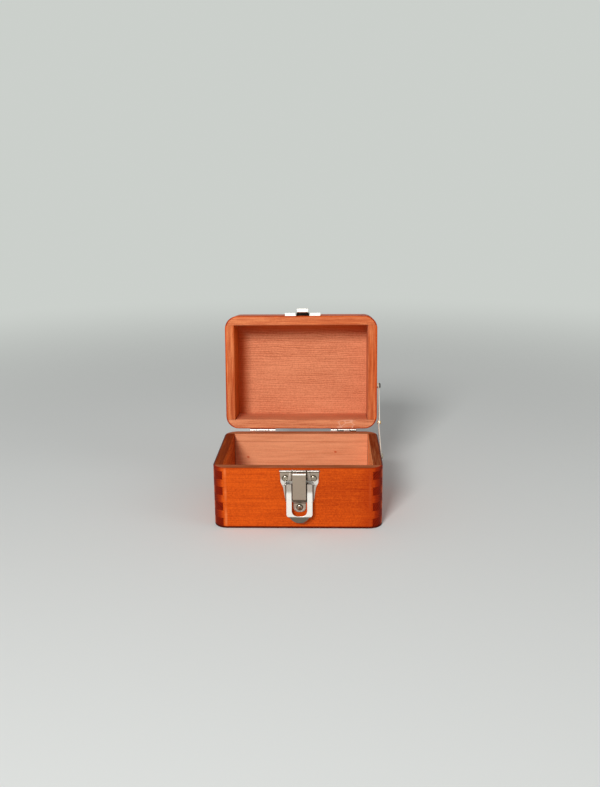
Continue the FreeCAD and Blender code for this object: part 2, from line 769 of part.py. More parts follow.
def keeper():
    """The lid's half of the latch: a screwed plate with a flange along the rim, an arch over
    its middle and a hook that turns up outside the base's flange."""
    body = new_body("keeper_plate")
    low, face = "lid_rim + keeper_foot", "-lid_front"
    outline = mirrored([
        ("keeper_half", low), ("keeper_half", "lid_rim + keeper_rise + big_head"),
        ("keeper_neck", "lid_rim + keeper_height")], "latch_side")
    pad(body, polygon(sketch(body, "XZ", "lid_front"), outline), "metal")
    high = value("lid_rim + keeper_height")
    soften(body, "Fillet", "leaf_corner",
           lambda edge: runs_along(edge, "y") and abs(middle(edge).z - high) < NEAR)
    opening = rectangle(sketch(body, "XZ", "lid_front + metal"),
                        "latch_side - keeper_side + metal", "latch_side + keeper_side - metal",
                        "lid_rim", "lid_rim + arch_height - metal")
    cut(body, opening, "metal + overcut")

    flange = sketch(body, "XZ", "lid_front")
    for left, right in (("-keeper_half", "-keeper_side"), ("keeper_side", "keeper_half")):
        rectangle(flange, f"latch_side + ({left})", f"latch_side + ({right})", low,
                  f"{low} + metal")
    pad(body, flange, "flange_out")

    arch = mirrored([("keeper_side", face), ("hook_half", f"{face} - hook_in - metal")],
                    "latch_side")
    pad(body, polygon(sketch(body, "XY", low), arch), "arch_height - keeper_foot")
    hollow = mirrored([("keeper_side - metal", face), ("hook_half - metal", f"{face} - hook_in")],
                      "latch_side")
    cut(body, polygon(sketch(body, "XY", "lid_rim + arch_height - metal"), hollow),
        "arch_height")

    floor, tip = "lid_rim - hook_drop", "lid_rim - hook_drop + hook_tip"
    root = f"{low} + metal"
    hook = polygon(sketch(body, "YZ", "latch_side"), [
        (f"{face} - hook_in", root), (f"{face} - hook_in", floor),
        (f"{face} - hook_out", floor), (f"{face} - hook_out", tip),
        (f"{face} - hook_out + metal", tip), (f"{face} - hook_out + metal", f"{floor} + metal"),
        (f"{face} - hook_in - metal", f"{floor} + metal"), (f"{face} - hook_in - metal", root)])
    pad(body, hook, "2 * hook_half", both=True)
    lowest = value(floor)
    soften(body, "Fillet", "bend",
           lambda edge: runs_along(edge, "x") and abs(middle(edge).z - lowest) < NEAR)

    holes = sketch(body, "XZ", "lid_front + metal")
    for sign in ("-", "+"):
        circle(holes, f"latch_side {sign} keeper_reach", "lid_rim + keeper_rise",
               "big_shank + screw_hole_play")
    cut(body, holes, "metal + overcut")
    place_on_lid(body)
    return finish(body)


def latch():
    """The latch and its keeper with their pins and screws."""
    latch_plate()
    latch_lever()
    draw_tongue()
    keeper()
    pivot = rod("lever_pin", "pivot_radius", "2 * (lug_outer + pivot_end)")
    place(pivot, "latch_side", "-box_depth / 2 - pivot_out", "rim_level - pivot_drop")
    finish(pivot)
    pin = rod("tongue_pin", "pivot_radius", "2 * (slot_half + metal + pivot_end)")
    place(pin, "latch_side", "-box_depth / 2 - tongue_out", "rim_level - tongue_low")
    finish(pin)
    front = "-box_depth / 2 - metal"
    group("latch_screws", [
        screw("latch_left_screw", "big", "latch_side - ear_reach", front,
              "rim_level - ear_drop", "90"),
        screw("latch_right_screw", "big", "latch_side + ear_reach", front,
              "rim_level - ear_drop", "90"),
        screw("latch_foot_screw", "big", "latch_side", front, "rim_level - foot_drop", "90")])
    group("keeper_screws", [
        screw("keeper_left_screw", "big", "latch_side - keeper_reach", "-lid_front - metal",
              "lid_rim + keeper_rise", "90"),
        screw("keeper_right_screw", "big", "latch_side + keeper_reach", "-lid_front - metal",
              "lid_rim + keeper_rise", "90")], on_lid=True)


# ---- lid stay ---------------------------------------------------------------------------

def link(label, length, far_hole, layer, deep, up, turn):
    """A flat link with round ends, drawn from its pivot along +Y and then turned."""
    body = new_body(label)
    strip = rectangle(sketch(body, "YZ"), "0", length, "-stay_width / 2", "stay_width / 2")
    pad(body, strip, "link_thick")
    for centre in ("0", length):
        pad(body, circle(sketch(body, "YZ"), centre, "0", "stay_width / 2"), "link_thick")
    holes = sketch(body, "YZ", "link_thick")
    circle(holes, "0", "0", "big_shank + link_play")
    circle(holes, length, "0", far_hole)
    cut(body, holes, "link_thick")
    place(body, layer, deep, up, turn)
    return finish(body)


def washer(label, thickness, across, deep, up):
    """A spacer between the wall and a link's pivot."""
    body = new_body(label)
    ring = circle(sketch(body, "YZ"), "0", "0", "washer_radius")
    circle(ring, "0", "0", "big_shank + screw_hole_play")
    pad(body, ring, thickness)
    place(body, across, deep, up)
    return body


def rivet_half(label, thickness, inwards, across):
    """Half of the elbow rivet: a shank that fills its own link's hole, and a round head."""
    body = new_body(label)
    pad(body, circle(sketch(body, "YZ"), "0", "0", "rivet_shank"), "link_thick")
    shift = f"-{thickness}" if inwards else "link_thick"
    pad(body, circle(sketch(body, "YZ", shift), "0", "0", "rivet_radius"), thickness)
    crown = -value(thickness) if inwards else value(f"link_thick + {thickness}")
    soften(body, "Fillet", f"rivet_crown * {thickness}",
           lambda edge: lies_at(edge, "x", crown) and edge.Curve.TypeId == "Part::GeomCircle")
    place(body, across, "elbow_y", "elbow_z")
    return finish(body)


def lid_stay():
    """Two links outside the right-hand walls.  The elbow is open between them: each link
    keeps its own half of the rivet."""
    link("stay_lower_link", "stay_lower_length", "rivet_shank", "lower_layer", "lower_y",
         "lower_z", "lower_angle")
    link("stay_upper_link", "stay_upper_length", "rivet_shank", "upper_layer", "upper_y",
         "upper_z", "upper_angle")
    rivet_half("stay_rivet_head", "rivet_height", False, "upper_layer")
    rivet_half("stay_rivet_tail", "rivet_tail", True, "lower_layer")
    wall_face = "box_length / 2"
    finish(washer("stay_base_washer", "stay_stand - link_play", wall_face, "lower_y",
                  "lower_z"))
    lid_ring = washer("stay_lid_ring", "upper_stand - link_play", wall_face, "lid_pin_y",
                      "lid_pin_z")
    group("stay_lid_washer", [lid_ring], on_lid=True)
    base_screw = screw("stay_base_pivot", "big", "lower_layer + link_thick + link_play",
                       "lower_y", "lower_z", "90", "y")
    group("stay_base_screw", [base_screw])
    lid_screw = screw("stay_lid_pivot", "big", "upper_layer + link_thick + link_play",
                      "lid_pin_y", "lid_pin_z", "90", "y")
    group("stay_lid_screw", [lid_screw], on_lid=True)


# ---- the box ----------------------------------------------------------------------------

def base_box():
    """The four boards of the base, drilled for what is screwed to them, and the bottom."""
    front = board("base_front_board", "front", False)
    pilot_holes(front, "front", [
        ("latch_side - ear_reach", "rim_level - ear_drop"),
        ("latch_side + ear_reach", "rim_level - ear_drop"),
        ("latch_side", "rim_level - foot_drop")], "big", "metal", False)
    rear = board("base_rear_board", "rear", False)
    pilot_holes(rear, "rear", hinge_holes("hinge_z - hinge_screw_drop"), "small", "leaf_thick",
                False)
    left = board("base_left_board", "left", False)
    right = board("base_right_board", "right", False)
    pilot_holes(right, "right", [("lower_y", "lower_z")], "big",
                "stay_stand + link_thick + link_play", False)
    for body in (front, rear, left, right):
        place(body)
        finish(body)
    panel("base_bottom_panel", False)


def lid_box():
    """The four boards of the lid, drilled in the same way, and the top."""
    front = board("lid_front_board", "front", True)
    pilot_holes(front, "front", [
        ("latch_side - keeper_reach", "lid_rim + keeper_rise"),
        ("latch_side + keeper_reach", "lid_rim + keeper_rise")], "big", "metal", True)
    rear = board("lid_rear_board", "rear", True)
    pilot_holes(rear, "rear", hinge_holes("hinge_screw_drop"), "small", "leaf_thick", True)
    left = board("lid_left_board", "left", True)
    right = board("lid_right_board", "right", True)
    pilot_holes(right, "right", [("lid_pin_y", "lid_pin_z")], "big",
                "upper_stand + link_thick + link_play", True)
    for body in (front, rear, left, right):
        place_on_lid(body)
        finish(body)
    panel("lid_top_panel", True)


def check_and_write():
    """Refuse a failed object or a bad shape, then write one STEP file for each node."""
    doc.recompute()
    for item in doc.Objects:
        if "Invalid" in item.State or "Error" in item.State:
            raise RuntimeError(f"{item.Label} failed: {item.State}")
    for piece in FINISHED:
        shape = piece.Shape
        if shape.isNull() or not shape.isValid() or not shape.Solids:
            raise RuntimeError(f"{piece.Label} has no valid shape")
    os.makedirs("parts", exist_ok=True)
    for piece in FINISHED:
        piece.Shape.exportStep(f"parts/{piece.Label}.step")


fill_sheet()
base_box()
lid_box()
hinges()
latch()
lid_stay()
check_and_write()
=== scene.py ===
import json
import math

import bmesh
import bpy
from bpy.props import FloatProperty, FloatVectorProperty, PointerProperty
from mathutils import Matrix, Vector


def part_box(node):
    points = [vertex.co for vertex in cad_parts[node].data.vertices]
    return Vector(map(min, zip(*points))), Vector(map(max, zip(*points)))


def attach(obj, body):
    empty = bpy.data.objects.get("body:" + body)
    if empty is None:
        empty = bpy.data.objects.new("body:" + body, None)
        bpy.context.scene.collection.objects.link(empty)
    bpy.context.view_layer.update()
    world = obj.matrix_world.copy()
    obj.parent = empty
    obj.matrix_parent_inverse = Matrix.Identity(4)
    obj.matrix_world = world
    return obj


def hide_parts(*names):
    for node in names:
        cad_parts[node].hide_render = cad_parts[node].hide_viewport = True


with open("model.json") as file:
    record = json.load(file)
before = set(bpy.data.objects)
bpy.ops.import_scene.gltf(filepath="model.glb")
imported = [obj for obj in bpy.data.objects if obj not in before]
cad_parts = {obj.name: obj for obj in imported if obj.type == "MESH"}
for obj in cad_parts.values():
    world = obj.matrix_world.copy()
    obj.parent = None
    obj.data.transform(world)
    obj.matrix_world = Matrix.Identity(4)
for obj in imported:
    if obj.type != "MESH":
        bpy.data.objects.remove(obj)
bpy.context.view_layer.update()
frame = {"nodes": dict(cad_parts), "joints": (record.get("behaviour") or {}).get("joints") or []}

bl_info = {
    "name": "Hinged wooden box looks",
    "version": (1, 0, 0),
    "blender": (4, 5, 0),
    "location": "View3D > Sidebar > Box",
    "description": "Stains the boards of a small hinged box, plates its fittings and lights it",
    "category": "Material",
}

# Places on the shut box, in metres.  The looks of the lid's pieces are worked out there too.
# The length is the front board's, whose ends stop half a millimetre inside the side walls,
# and FINGERS is how many finger heights the base's boards have.
FRONT_LOW, FRONT_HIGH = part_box("base_front_board")
HALF_LENGTH = FRONT_HIGH.x
HALF_DEPTH = -FRONT_LOW.y
RIM = FRONT_HIGH.z
SEAM = 0.0001
WALL = FRONT_HIGH.y - FRONT_LOW.y
CORNER = 0.0125
FINGERS = 7.5
FINGER = (RIM - FRONT_LOW.z) / FINGERS

LID_JOINT = next(joint for joint in frame["joints"] if joint["name"] == "lid_hinge")
HINGE = Vector(LID_JOINT["pos_m"])
SHUT_TURN = math.radians(max(LID_JOINT["range_deg"]))
SHUT = Matrix.Rotation(SHUT_TURN, 3, "X")
LID_TOP = HINGE.z + max((SHUT @ (vertex.co - HINGE)).z
                        for vertex in frame["nodes"]["lid_top_panel"].data.vertices)

# Tones on the metal, as linear colours: dirt that also stands for painted shade, a painted
# shadow and a painted highlight, painted shade on the lever's rails, lugs and thumb tab, a
# red-brown for the lowest latch screw, and painted shade under the keeper's arch.
DIRT_AND_SHADE = (0.055, 0.038, 0.024)
SHADOW = (0.10, 0.075, 0.05)
LIT = (0.97, 0.93, 0.87)
RAIL_SHADE = (0.45, 0.38, 0.32)
RAIL_END_SHADE = (0.33, 0.27, 0.22)
RAIL_TOP_SHADE = (0.22, 0.18, 0.15)
LUG_SHADE = (0.20, 0.17, 0.13)
LUG_MIDDLE_SHADE = (0.24, 0.20, 0.165)
THUMB_SHADE = (0.13, 0.12, 0.085)
RED_BROWN = (0.20, 0.07, 0.03)
HOLLOW_SHADE = (0.02, 0.014, 0.010)

# How sheet metal is pressed, in metres and radians: what counts as flat, as a sheared edge
# and as a crease, and how far round the latch's pins an edge is left alone.
FLAT = math.radians(0.6)
SHEARED = math.radians(32)
CREASE = math.radians(35)
PIN_CLEAR = 0.0010

# The radius of the latch screws' heads, in metres.
SCREW_HEAD = 0.0027

# The stage: the camera's sensor in millimetres, and the floor in metres.
SENSOR = 36
FLOOR_REACH = 30.0
FLOOR_FADE = (0.35, 1.5)


def shade(red, green, blue):
    """A screen colour, 0 to 255, as the linear colour that a shader takes."""
    def linear(level):
        level /= 255
        return level / 12.92 if level <= 0.04045 else ((level + 0.055) / 1.055) ** 2.4
    return (linear(red), linear(green), linear(blue))


def colour(name, about, default):
    """A colour setting."""
    return FloatVectorProperty(name=name, description=about, default=default, size=3,
                               min=0, max=1, subtype="COLOR")


class WoodSettings(bpy.types.PropertyGroup):
    """The stain and grain of the boards, with some insides painted lit or shaded and a painted
    sheen on the corners.
    """

    outer_light: colour("Outside stain, early wood", "Stain between the growth lines",
                        shade(216, 88, 20))
    outer_dark: colour("Outside stain, late wood", "Stain on the growth lines", shade(158, 46, 6))
    inner_light: colour("Inside stain, early wood", "Paler stain inside and on the rims",
                        shade(230, 148, 108))
    inner_dark: colour("Inside stain, late wood", "Growth lines inside and on the rims",
                       shade(178, 92, 58))
    end_light: colour("End grain, pale rings", "Stain soaked into cut fibres", shade(136, 28, 1))
    end_dark: colour("End grain, dark rings", "Stain soaked into late wood", shade(76, 12, 0))
    # Painted light: the inside stain made paler on the rear board, as if lit.
    lit_rear_light: colour("Rear board, early wood", "Palest stain, inside the rear board",
                       shade(238, 161, 118))
    lit_rear_dark: colour("Rear board, late wood", "Growth lines inside the rear board",
                      shade(198, 114, 72))
    # Painted light: the inside stain made paler on the base's right board, as if lit.
    lit_right_light: colour("Right board, early wood", "Palest stain, inside the right board",
                      shade(252, 170, 112))
    lit_right_dark: colour("Right board, late wood", "Growth lines inside the right board",
                     shade(232, 138, 80))
    # Painted shade: a deeper, warmer copy of the inside stain on the base's left board.
    shaded_left_light: colour("Left board, early wood", "Stain inside the base's left board",
                       shade(238, 124, 44))
    shaded_left_dark: colour("Left board, late wood", "Growth lines inside the base's left board",
                      shade(150, 50, 8))
    # Painted shade: a deeper, warmer copy of the inside stain on the lid's left board.
    shaded_side_light: colour("Side boards, early wood", "Deeper stain on the side boards' insides",
                       shade(218, 110, 40))
    shaded_side_dark: colour("Side boards, late wood", "Growth lines on the side boards' insides",
                      shade(166, 68, 16))
    rim_pink: colour("Lid rim, pale", "Thin stain on the lid's rims", shade(220, 122, 76))
    rim_red: colour("Lid rim, red", "Thick stain on the lid's rims", shade(208, 92, 42))
    rim_pale: colour("Lid rim, streaks", "Pale streaks on the lid's rims", shade(248, 164, 104))
    rim_dark: colour("Lid rim, late wood", "Growth lines on the lid's rims", shade(164, 62, 26))
    rim_brown: colour("Base rim", "Stain on the front and rear rims of the base",
                      shade(146, 74, 38))
    rim_deep: colour("Base side rim", "Stain on the side rims of the base", shade(122, 40, 0))
    # Also the tone of the painted shade towards the right end of the long boards.
    corner_red: colour("Corner fingers", "Stain on the fingers that run round the corners",
                       shade(150, 34, 4))
    # A painted sheen down the start of each rounded corner, strongest at the left.
    corner_sheen: colour("Rubbed corners", "Varnish rubbed thin where the corners start",
                   shade(238, 134, 76))
    scuffed: colour("Scuffs", "Varnish scraped pale", shade(246, 198, 170))
    knot: colour("Knots", "Small reddish knots", shade(200, 62, 14))
    # Near black along the bottom panel's edge.
    edge_dark: colour("Bottom edge", "Stain on the thin bottom panel's edge", shade(72, 12, 3))
    ring: FloatProperty(name="Ring spacing", description="Distance between growth lines",
                        default=0.0019, min=0.0005, max=0.01, unit="LENGTH")
    satin: FloatProperty(name="Varnish roughness", description="Roughness of the outside",
                         default=0.40, min=0.05, max=1.0, subtype="FACTOR")


class MetalSettings(bpy.types.PropertyGroup):
    """The plating of the fittings, some of it painted lit or shaded."""

    # One nickel plating in a painted lit tone and a painted shaded tone, as its reflections fall.
    bright: colour("Bright nickel", "Lever, flanges and keeper", (0.97, 0.93, 0.87))
    shaded_nickel: colour("Dull nickel", "The draw tongue and the plate", (0.50, 0.405, 0.315))
    screw: colour("Screw nickel", "Screw heads", (0.44, 0.38, 0.30))
    # Painted dark: a dark reflection shown on the stay's upper screw.
    dark_reflection_screw: colour("Stay screw", "The tarnished screw at the stay's upper end",
                       (0.07, 0.06, 0.05))
    stay: colour("Stay nickel", "The folding stay's links", (0.97, 0.90, 0.78))
    brass: colour("Brass", "The stay's elbow rivet", (0.70, 0.42, 0.12))
    # Painted dark, as shade that hides the glint on the latch pins' ends.
    pin: colour("Pin steel", "The latch's two pins", (0.06, 0.05, 0.04))
    polish: FloatProperty(name="Plating roughness", description="Roughness of bright plating",
                          default=0.42, min=0.05, max=1.0, subtype="FACTOR")
    press: FloatProperty(name="Pressed edge", description="Rounding of the sheet's edges",
                         default=0.00016, min=0.00002, max=0.0004, unit="LENGTH")


class StageSettings(bpy.types.PropertyGroup):
    """The camera, the lights and the floor."""

    floor: colour("Floor", "Colour of the floor", (0.78, 0.80, 0.78))
    backdrop: colour("Backdrop", "Colour of the far floor and what is behind", (0.60, 0.63, 0.60))
    camera_place: FloatVectorProperty(name="Camera place", description="Where it stands",
                                      default=(0.02844, -0.75998, 0.30071), size=3,
                                      subtype="XYZ", unit="LENGTH")
    pitch: FloatProperty(name="Pitch", description="Angle below the horizon",
                         default=math.radians(14.13), unit="ROTATION")
    yaw: FloatProperty(name="Yaw", description="Turn to the left", default=math.radians(2.07),
                       unit="ROTATION")
    roll: FloatProperty(name="Roll", description="Lean of the camera",
                        default=math.radians(-0.56), unit="ROTATION")
    lens: FloatProperty(name="Lens", description="Focal length in millimetres",
                        default=39.04, min=10, unit="CAMERA")
    key: FloatProperty(name="Key light", description="Power of the large soft light, in watts",
                       default=36.0, min=0)
    fill: FloatProperty(name="Fill light", description="Power of the second light, in watts",
                        default=3.5, min=0)
    sky: FloatProperty(name="Surrounding light", description="Strength from all sides",
                       default=0.30, min=0)


# ---- shader building ----

class Reading:
    """A number that changes over a surface.  Arithmetic on it adds the Math nodes."""

    def __init__(self, finish, socket):
        self.finish = finish
        self.socket = socket

    def __add__(self, other):
        return self.finish.math("ADD", self, other)

    __radd__ = __add__

    def __sub__(self, other):
        return self.finish.math("SUBTRACT", self, other)

    def __rsub__(self, other):
        return self.finish.math("SUBTRACT", other, self)

    def __mul__(self, other):
        return self.finish.math("MULTIPLY", self, other)

    __rmul__ = __mul__

    def __truediv__(self, other):
        return self.finish.math("DIVIDE", self, other)

    def __pow__(self, other):
        return self.finish.math("POWER", self, other)

    def __abs__(self):
        return self.finish.math("ABSOLUTE", self)


class Finish:
    """A material under construction."""

    def __init__(self, name, holder=None):
        self.material = holder or bpy.data.materials.new(name)
        self.material.use_nodes = True
        self.tree = self.material.node_tree
        self.tree.nodes.clear()

    def node(self, kind, settings=None, inputs=None, output=0):
        """Any node: its settings first, then the values or links of its sockets."""
        made = self.tree.nodes.new(kind)
        for key, setting in (settings or {}).items():
            setattr(made, key, setting)
        for key, given in (inputs or {}).items():
            socket = made.inputs[key]
            if isinstance(given, Reading):
                self.tree.links.new(given.socket, socket)
            elif socket.type == "RGBA":
                socket.default_value = (*given[:3], 1.0)
            else:
                socket.default_value = given
        return Reading(self, made.outputs[output])

    def beside(self, reading, output):
        """Another output of the node that a reading comes from."""
        return Reading(self, reading.socket.node.outputs[output])

    def math(self, operation, *inputs):
        """One step of arithmetic."""
        return self.node("ShaderNodeMath", {"operation": operation}, dict(enumerate(inputs)))

    def least(self, first, second):
        """The smaller of two readings."""
        return self.math("MINIMUM", first, second)

    def most(self, first, second):
        """The larger of two readings."""
        return self.math("MAXIMUM", first, second)

    def clamped(self, reading):
        """The reading kept between 0 and 1."""
        return self.node("ShaderNodeMath", {"operation": "MULTIPLY", "use_clamp": True},
                         {0: reading, 1: 1.0})

    def step(self, reading, start, end):
        """0 before start, 1 after end, smooth between them."""
        return self.node("ShaderNodeMapRange", {"interpolation_type": "SMOOTHSTEP"},
                         {"Value": reading, "From Min": start, "From Max": end})

    def until(self, reading, start, end):
        """1 before start, 0 after end, smooth between them."""
        return 1 - self.step(reading, start, end)

    def distance(self, off_first, off_second):
        """Distance from a point, given how far off it is each way."""
        return (off_first * off_first + off_second * off_second) ** 0.5

    def split(self, vector):
        """The x, y and z of a vector."""
        parts = self.node("ShaderNodeSeparateXYZ", None, {0: vector})
        return [self.beside(parts, index) for index in range(3)]

    def turned(self, vector, how, turn=(0, 0, 0), scale=(1, 1, 1), shift=(0, 0, 0)):
        """A place (POINT) scaled, turned and shifted, or a direction (VECTOR) turned."""
        inputs = {"Vector": vector, "Rotation": turn, "Scale": scale}
        if how == "POINT":
            inputs["Location"] = shift
        return self.node("ShaderNodeMapping", {"vector_type": how}, inputs)

    def noise(self, place, stretch, detail, rough, shift):
        """Cloudy noise, 0 to 1, with so many clouds per metre each way."""
        scaled = self.turned(place, "POINT", scale=stretch, shift=shift)
        return self.node("ShaderNodeTexNoise", None, {
            "Vector": scaled, "Scale": 1.0, "Detail": detail, "Roughness": rough})

    def cell_edges(self, place, turn, stretch, shift):
        """Distance to the edges of scattered cells, which cross like scratches."""
        crossed = self.turned(place, "POINT", turn, stretch, shift)
        return self.node("ShaderNodeTexVoronoi", {"feature": "DISTANCE_TO_EDGE"},
                         {"Vector": crossed, "Scale": 1.0})

    def mix(self, share, first, second):
        """From the first colour to the second."""
        return self.node("ShaderNodeMix", {"data_type": "RGBA"},
                         {0: share, 6: first, 7: second}, 2)

    def close(self, base, rough, metal, height, strength, depth, gloss):
        """The shader itself, with a bump from the height."""
        bump = self.node("ShaderNodeBump", None, {
            "Strength": strength, "Distance": depth, "Height": height})
        shader = self.node("ShaderNodeBsdfPrincipled", None, {
            "Base Color": base, "Roughness": rough, "Metallic": metal, "Normal": bump,
            "Specular IOR Level": gloss})
        self.node_out(shader)
        return self.material

    def node_out(self, shader, kind="ShaderNodeOutputMaterial"):
        """Send the shader to the material's or the world's surface."""
        out = self.tree.nodes.new(kind)
        self.tree.links.new(shader.socket, out.inputs["Surface"])


# ---- wood ----

def shut_place(finish, leaning):
    """Place and facing of a point, for lid pieces as they are with the lid shut."""
    place = finish.node("ShaderNodeTexCoord", None, None, "Object")
    facing = finish.beside(place, "Normal")
    if not leaning:
        return place, facing
    place = finish.turned(place, "POINT", (SHUT_TURN, 0, 0), shift=HINGE - SHUT @ HINGE)
    return place, finish.turned(facing, "VECTOR", (SHUT_TURN, 0, 0))


def outside(finish, x, y):
    """Height above the box's rounded outline: about 0 on its outer walls and negative
    inside."""
    over_x = abs(x) - (HALF_LENGTH - CORNER)
    over_y = abs(y) - (HALF_DEPTH - CORNER)
    reach = finish.distance(finish.most(over_x, 0.0), finish.most(over_y, 0.0))
    return reach + finish.least(finish.most(over_x, over_y), 0.0) - CORNER


class StainedWood(Finish):
    """Stained softwood cut from a log whose pith runs along the grain at the given place.
    Growth lines are shells round the pith, so faces show lines and end grain shows arcs."""

    # Bands over which a stain, painted shade or a painted sheen comes or goes, and the depth
    # of the grain's relief, in metres.
    SKIN = (-0.0012, -0.0005)
    RIM_BAND = (0.0010, 0.0006)
    CORNER_BAND = (0.0032, 0.0068)
    # Where painted shade darkens the right end of the long boards.
    RIGHT_SHADE = (0.050, 0.064)
    SOAK_AND_SHADE_FRONT = (0.004, 0.014)
    SOAK_AND_SHADE_LEFT = (0.0, 0.012)
    SINGLE_LINE = (0.00012, 0.00045)
    FINGER_LINE = (0.00006, 0.00022)
    SEAM_LINE = (0.00005, 0.0002)
    WALL_FADE = 0.0002
    SCUFF_ENDS = (0.004, 0.006)
    # Where the painted corner sheen runs, and where it fades towards the right.
    RUBBED_MIDDLE, RUBBED_BAND = 0.0016, (0.0002, 0.0018)
    SHEEN_LEFT = (-0.01, 0.01)
    RELIEF = 0.00006

    def __init__(self, name, grain, pith, seed, leaning, outer_face, wave):
        super().__init__(name)
        self.look = bpy.context.scene.box_wood
        self.leaning = leaning
        self.lengthwise = grain == "x"
        self.panel = outer_face is not None
        self.shift = (seed * 3.7, seed * 1.9, seed * 5.3)
        self.find_place(outer_face)
        self.grow(pith, seed, wave)

    def find_place(self, outer_face):
        """How far a point is on the outside, on end grain, on a rim and round a corner."""
        self.place, facing = shut_place(self, self.leaning)
        self.x, self.y, self.z = self.split(self.place)
        facing_x, facing_y, facing_z = self.split(facing)
        if self.lengthwise:
            along, self.across, facing_along, ends = self.x, self.y, facing_x, (0.30, 0.95)
        else:
            along, self.across, facing_along, ends = self.y, self.x, facing_y, (0.22, 0.60)
        self.log = self.node("ShaderNodeCombineXYZ", None, {0: along, 1: self.across, 2: self.z})
        self.end = self.step(abs(facing_along), *ends)
        self.outer = self.step(outside(self, self.x, self.y), *self.SKIN)
        if self.panel:
            self.outer = self.most(self.outer, self.step(self.z, *outer_face))
        self.slope = abs(facing_z)
        self.rim = self.step(abs(self.z - RIM), *self.RIM_BAND) * self.step(self.slope, 0.55, 0.9)
        self.into_corner = abs(self.x) - (HALF_LENGTH - CORNER)

    def grow(self, pith, seed, wave):
        """The growth shells, then the fibres, the pores and the cloudiness of the stain.
        Each noise has its clouds per metre along the grain and across, detail and roughness."""
        log, shift = self.log, self.shift
        self.bend = self.noise(log, (9, 26, 26), 2.0, 0.45, shift) - 0.5
        self.ripple = self.noise(log, (55, 140, 140), 2.0, 0.5, shift) - 0.5
        radius = self.distance(self.across - pith[0], self.z - pith[1])
        shells = radius / self.look.ring + self.bend * (3.4 * wave) + self.ripple * (0.7 * wave)
        number = self.math("FLOOR", shells)
        within = self.math("FRACT", shells)
        weight = self.node("ShaderNodeTexWhiteNoise", {"noise_dimensions": "1D"},
                           {"W": number + seed * 17.3})
        late = self.step(within, 0.42, 0.86) * self.until(within, 0.90, 1.0)
        self.late = late * (0.35 + 0.65 * weight)
        self.fibre = self.noise(log, (45, 1500, 1500), 3.0, 0.6, shift)
        self.streak = self.noise(log, (20, 480, 480), 3.0, 0.62, shift)
        self.pores = self.step(self.noise(log, (190, 2300, 2300), 1.0, 0.5, shift), 0.66, 0.74)
        self.cloud = self.noise(log, (16, 45, 45), 3.0, 0.55, shift)
        self.speckle = self.noise(self.place, (820, 820, 820), 2.0, 0.6, shift)

    def darkness(self, lines, bands, mottled, fade):
        """How dark the stain is, 0 to 1, from its growth lines, streaks and speckles, with
        painted shade that grows along one axis where fade is given.
        """
        dark = (0.10 + (0.52 * lines) * self.late + 0.80 * (self.fibre - 0.38)
                + 0.60 * (self.cloud - 0.46))
        if fade:
            axis, start, end, share = fade
            dark = dark + share * self.step(getattr(self, axis), start, end)
        dark = dark + bands * (self.streak - 0.5) + (2.0 * mottled) * (self.speckle - 0.5)
        return self.clamped(dark + self.pores * 0.22)

    def stain_lid_rim(self, dark, stain, rim_stain):
        """Blotches of thin and thick stain on the lid's rims, streaked along the grain."""
        look = self.look
        if rim_stain:
            blotched = self.mix(self.step(self.cloud, 0.38, 0.62), look.rim_pink, look.rim_red)
            blotched = self.mix(dark, blotched, look.rim_dark)
            stain = self.mix(self.rim * rim_stain, stain, blotched)
        streaky = self.clamped(0.5 + 1.2 * (self.streak - 0.5) + 3.2 * (self.fibre - 0.5))
        stain = self.mix(self.rim * streaky * 0.36, stain, look.rim_dark)
        return self.mix(self.rim * (1 - streaky) * 0.26, stain, look.rim_pale)

    def stain_base_rim(self, stain):
        """Brown stain soaked into the base's rims, more evenly at the sides."""
        brown = self.look.rim_brown if self.lengthwise else self.look.rim_deep
        uneven = 1.0 if self.lengthwise else 0.5
        soaked = (1.06 - 0.26 * uneven + (1.3 * uneven) * (self.fibre - 0.5)
                  + (1.1 * uneven) * (self.streak - 0.5))
        return self.mix(self.clamped(self.rim * soaked), stain, brown)

    def stain_outside(self, dark):
        """The redder stain outside, redder and darker still on the fingers that run round the
        corners, and painted shade towards the boards' right ends.
        """
        stain = self.mix(dark, self.look.outer_light, self.look.outer_dark)
        if not self.lengthwise or self.panel:
            return stain
        redder = self.step(self.into_corner, *self.CORNER_BAND)
        redder = redder * (0.78 + 0.9 * (self.streak - 0.5))
        # Painted shade towards the right end, away from the light.
        redder = self.most(redder, self.step(self.x, *self.RIGHT_SHADE) * 0.42)
        return self.mix(redder, stain, self.look.corner_red)

    def stain_ends(self, face):
        """End grain, where the stain has soaked in most."""
        rings = self.clamped(0.15 + 0.7 * self.late + 0.9 * (self.speckle - 0.42))
        ends = self.mix(rings, self.look.end_light, self.look.end_dark)
        return self.mix(self.end * (0.30 + 0.70 * self.outer), face, ends)

    def soak_and_shade_edges(self, base, front, left):
        """Stain gathered on a panel's inside where it meets the front and left boards, with
        painted
        warm shade there: the outside's orange stain is mixed in.
        """
        near = self.most(self.until(self.y - front, *self.SOAK_AND_SHADE_FRONT),
                         self.until(self.x - left, *self.SOAK_AND_SHADE_LEFT))
        return self.mix(near * 0.8 * (1 - self.outer), base, self.look.outer_light)

    def mark_knot(self, base, knot_x, knot_z, size):
        """A small knot inside, a little longer along the grain."""
        off_x = (self.x - knot_x) / 1.3 + self.ripple * 0.003
        off_z = self.z - knot_z + self.bend * 0.002
        near = self.until(self.distance(off_x, off_z), size * 0.1, size)
        return self.mix(near * 0.85 * (1 - self.outer), base, self.look.knot)

    def mark_line(self, base, level, axis):
        """A single dark line inside, at one level of an axis."""
        off = abs(getattr(self, axis) - level + self.bend * 0.0008)
        line = self.until(off, *self.SINGLE_LINE) * (1 - self.outer)
        return self.mix(line * 0.5, base, self.look.inner_dark)

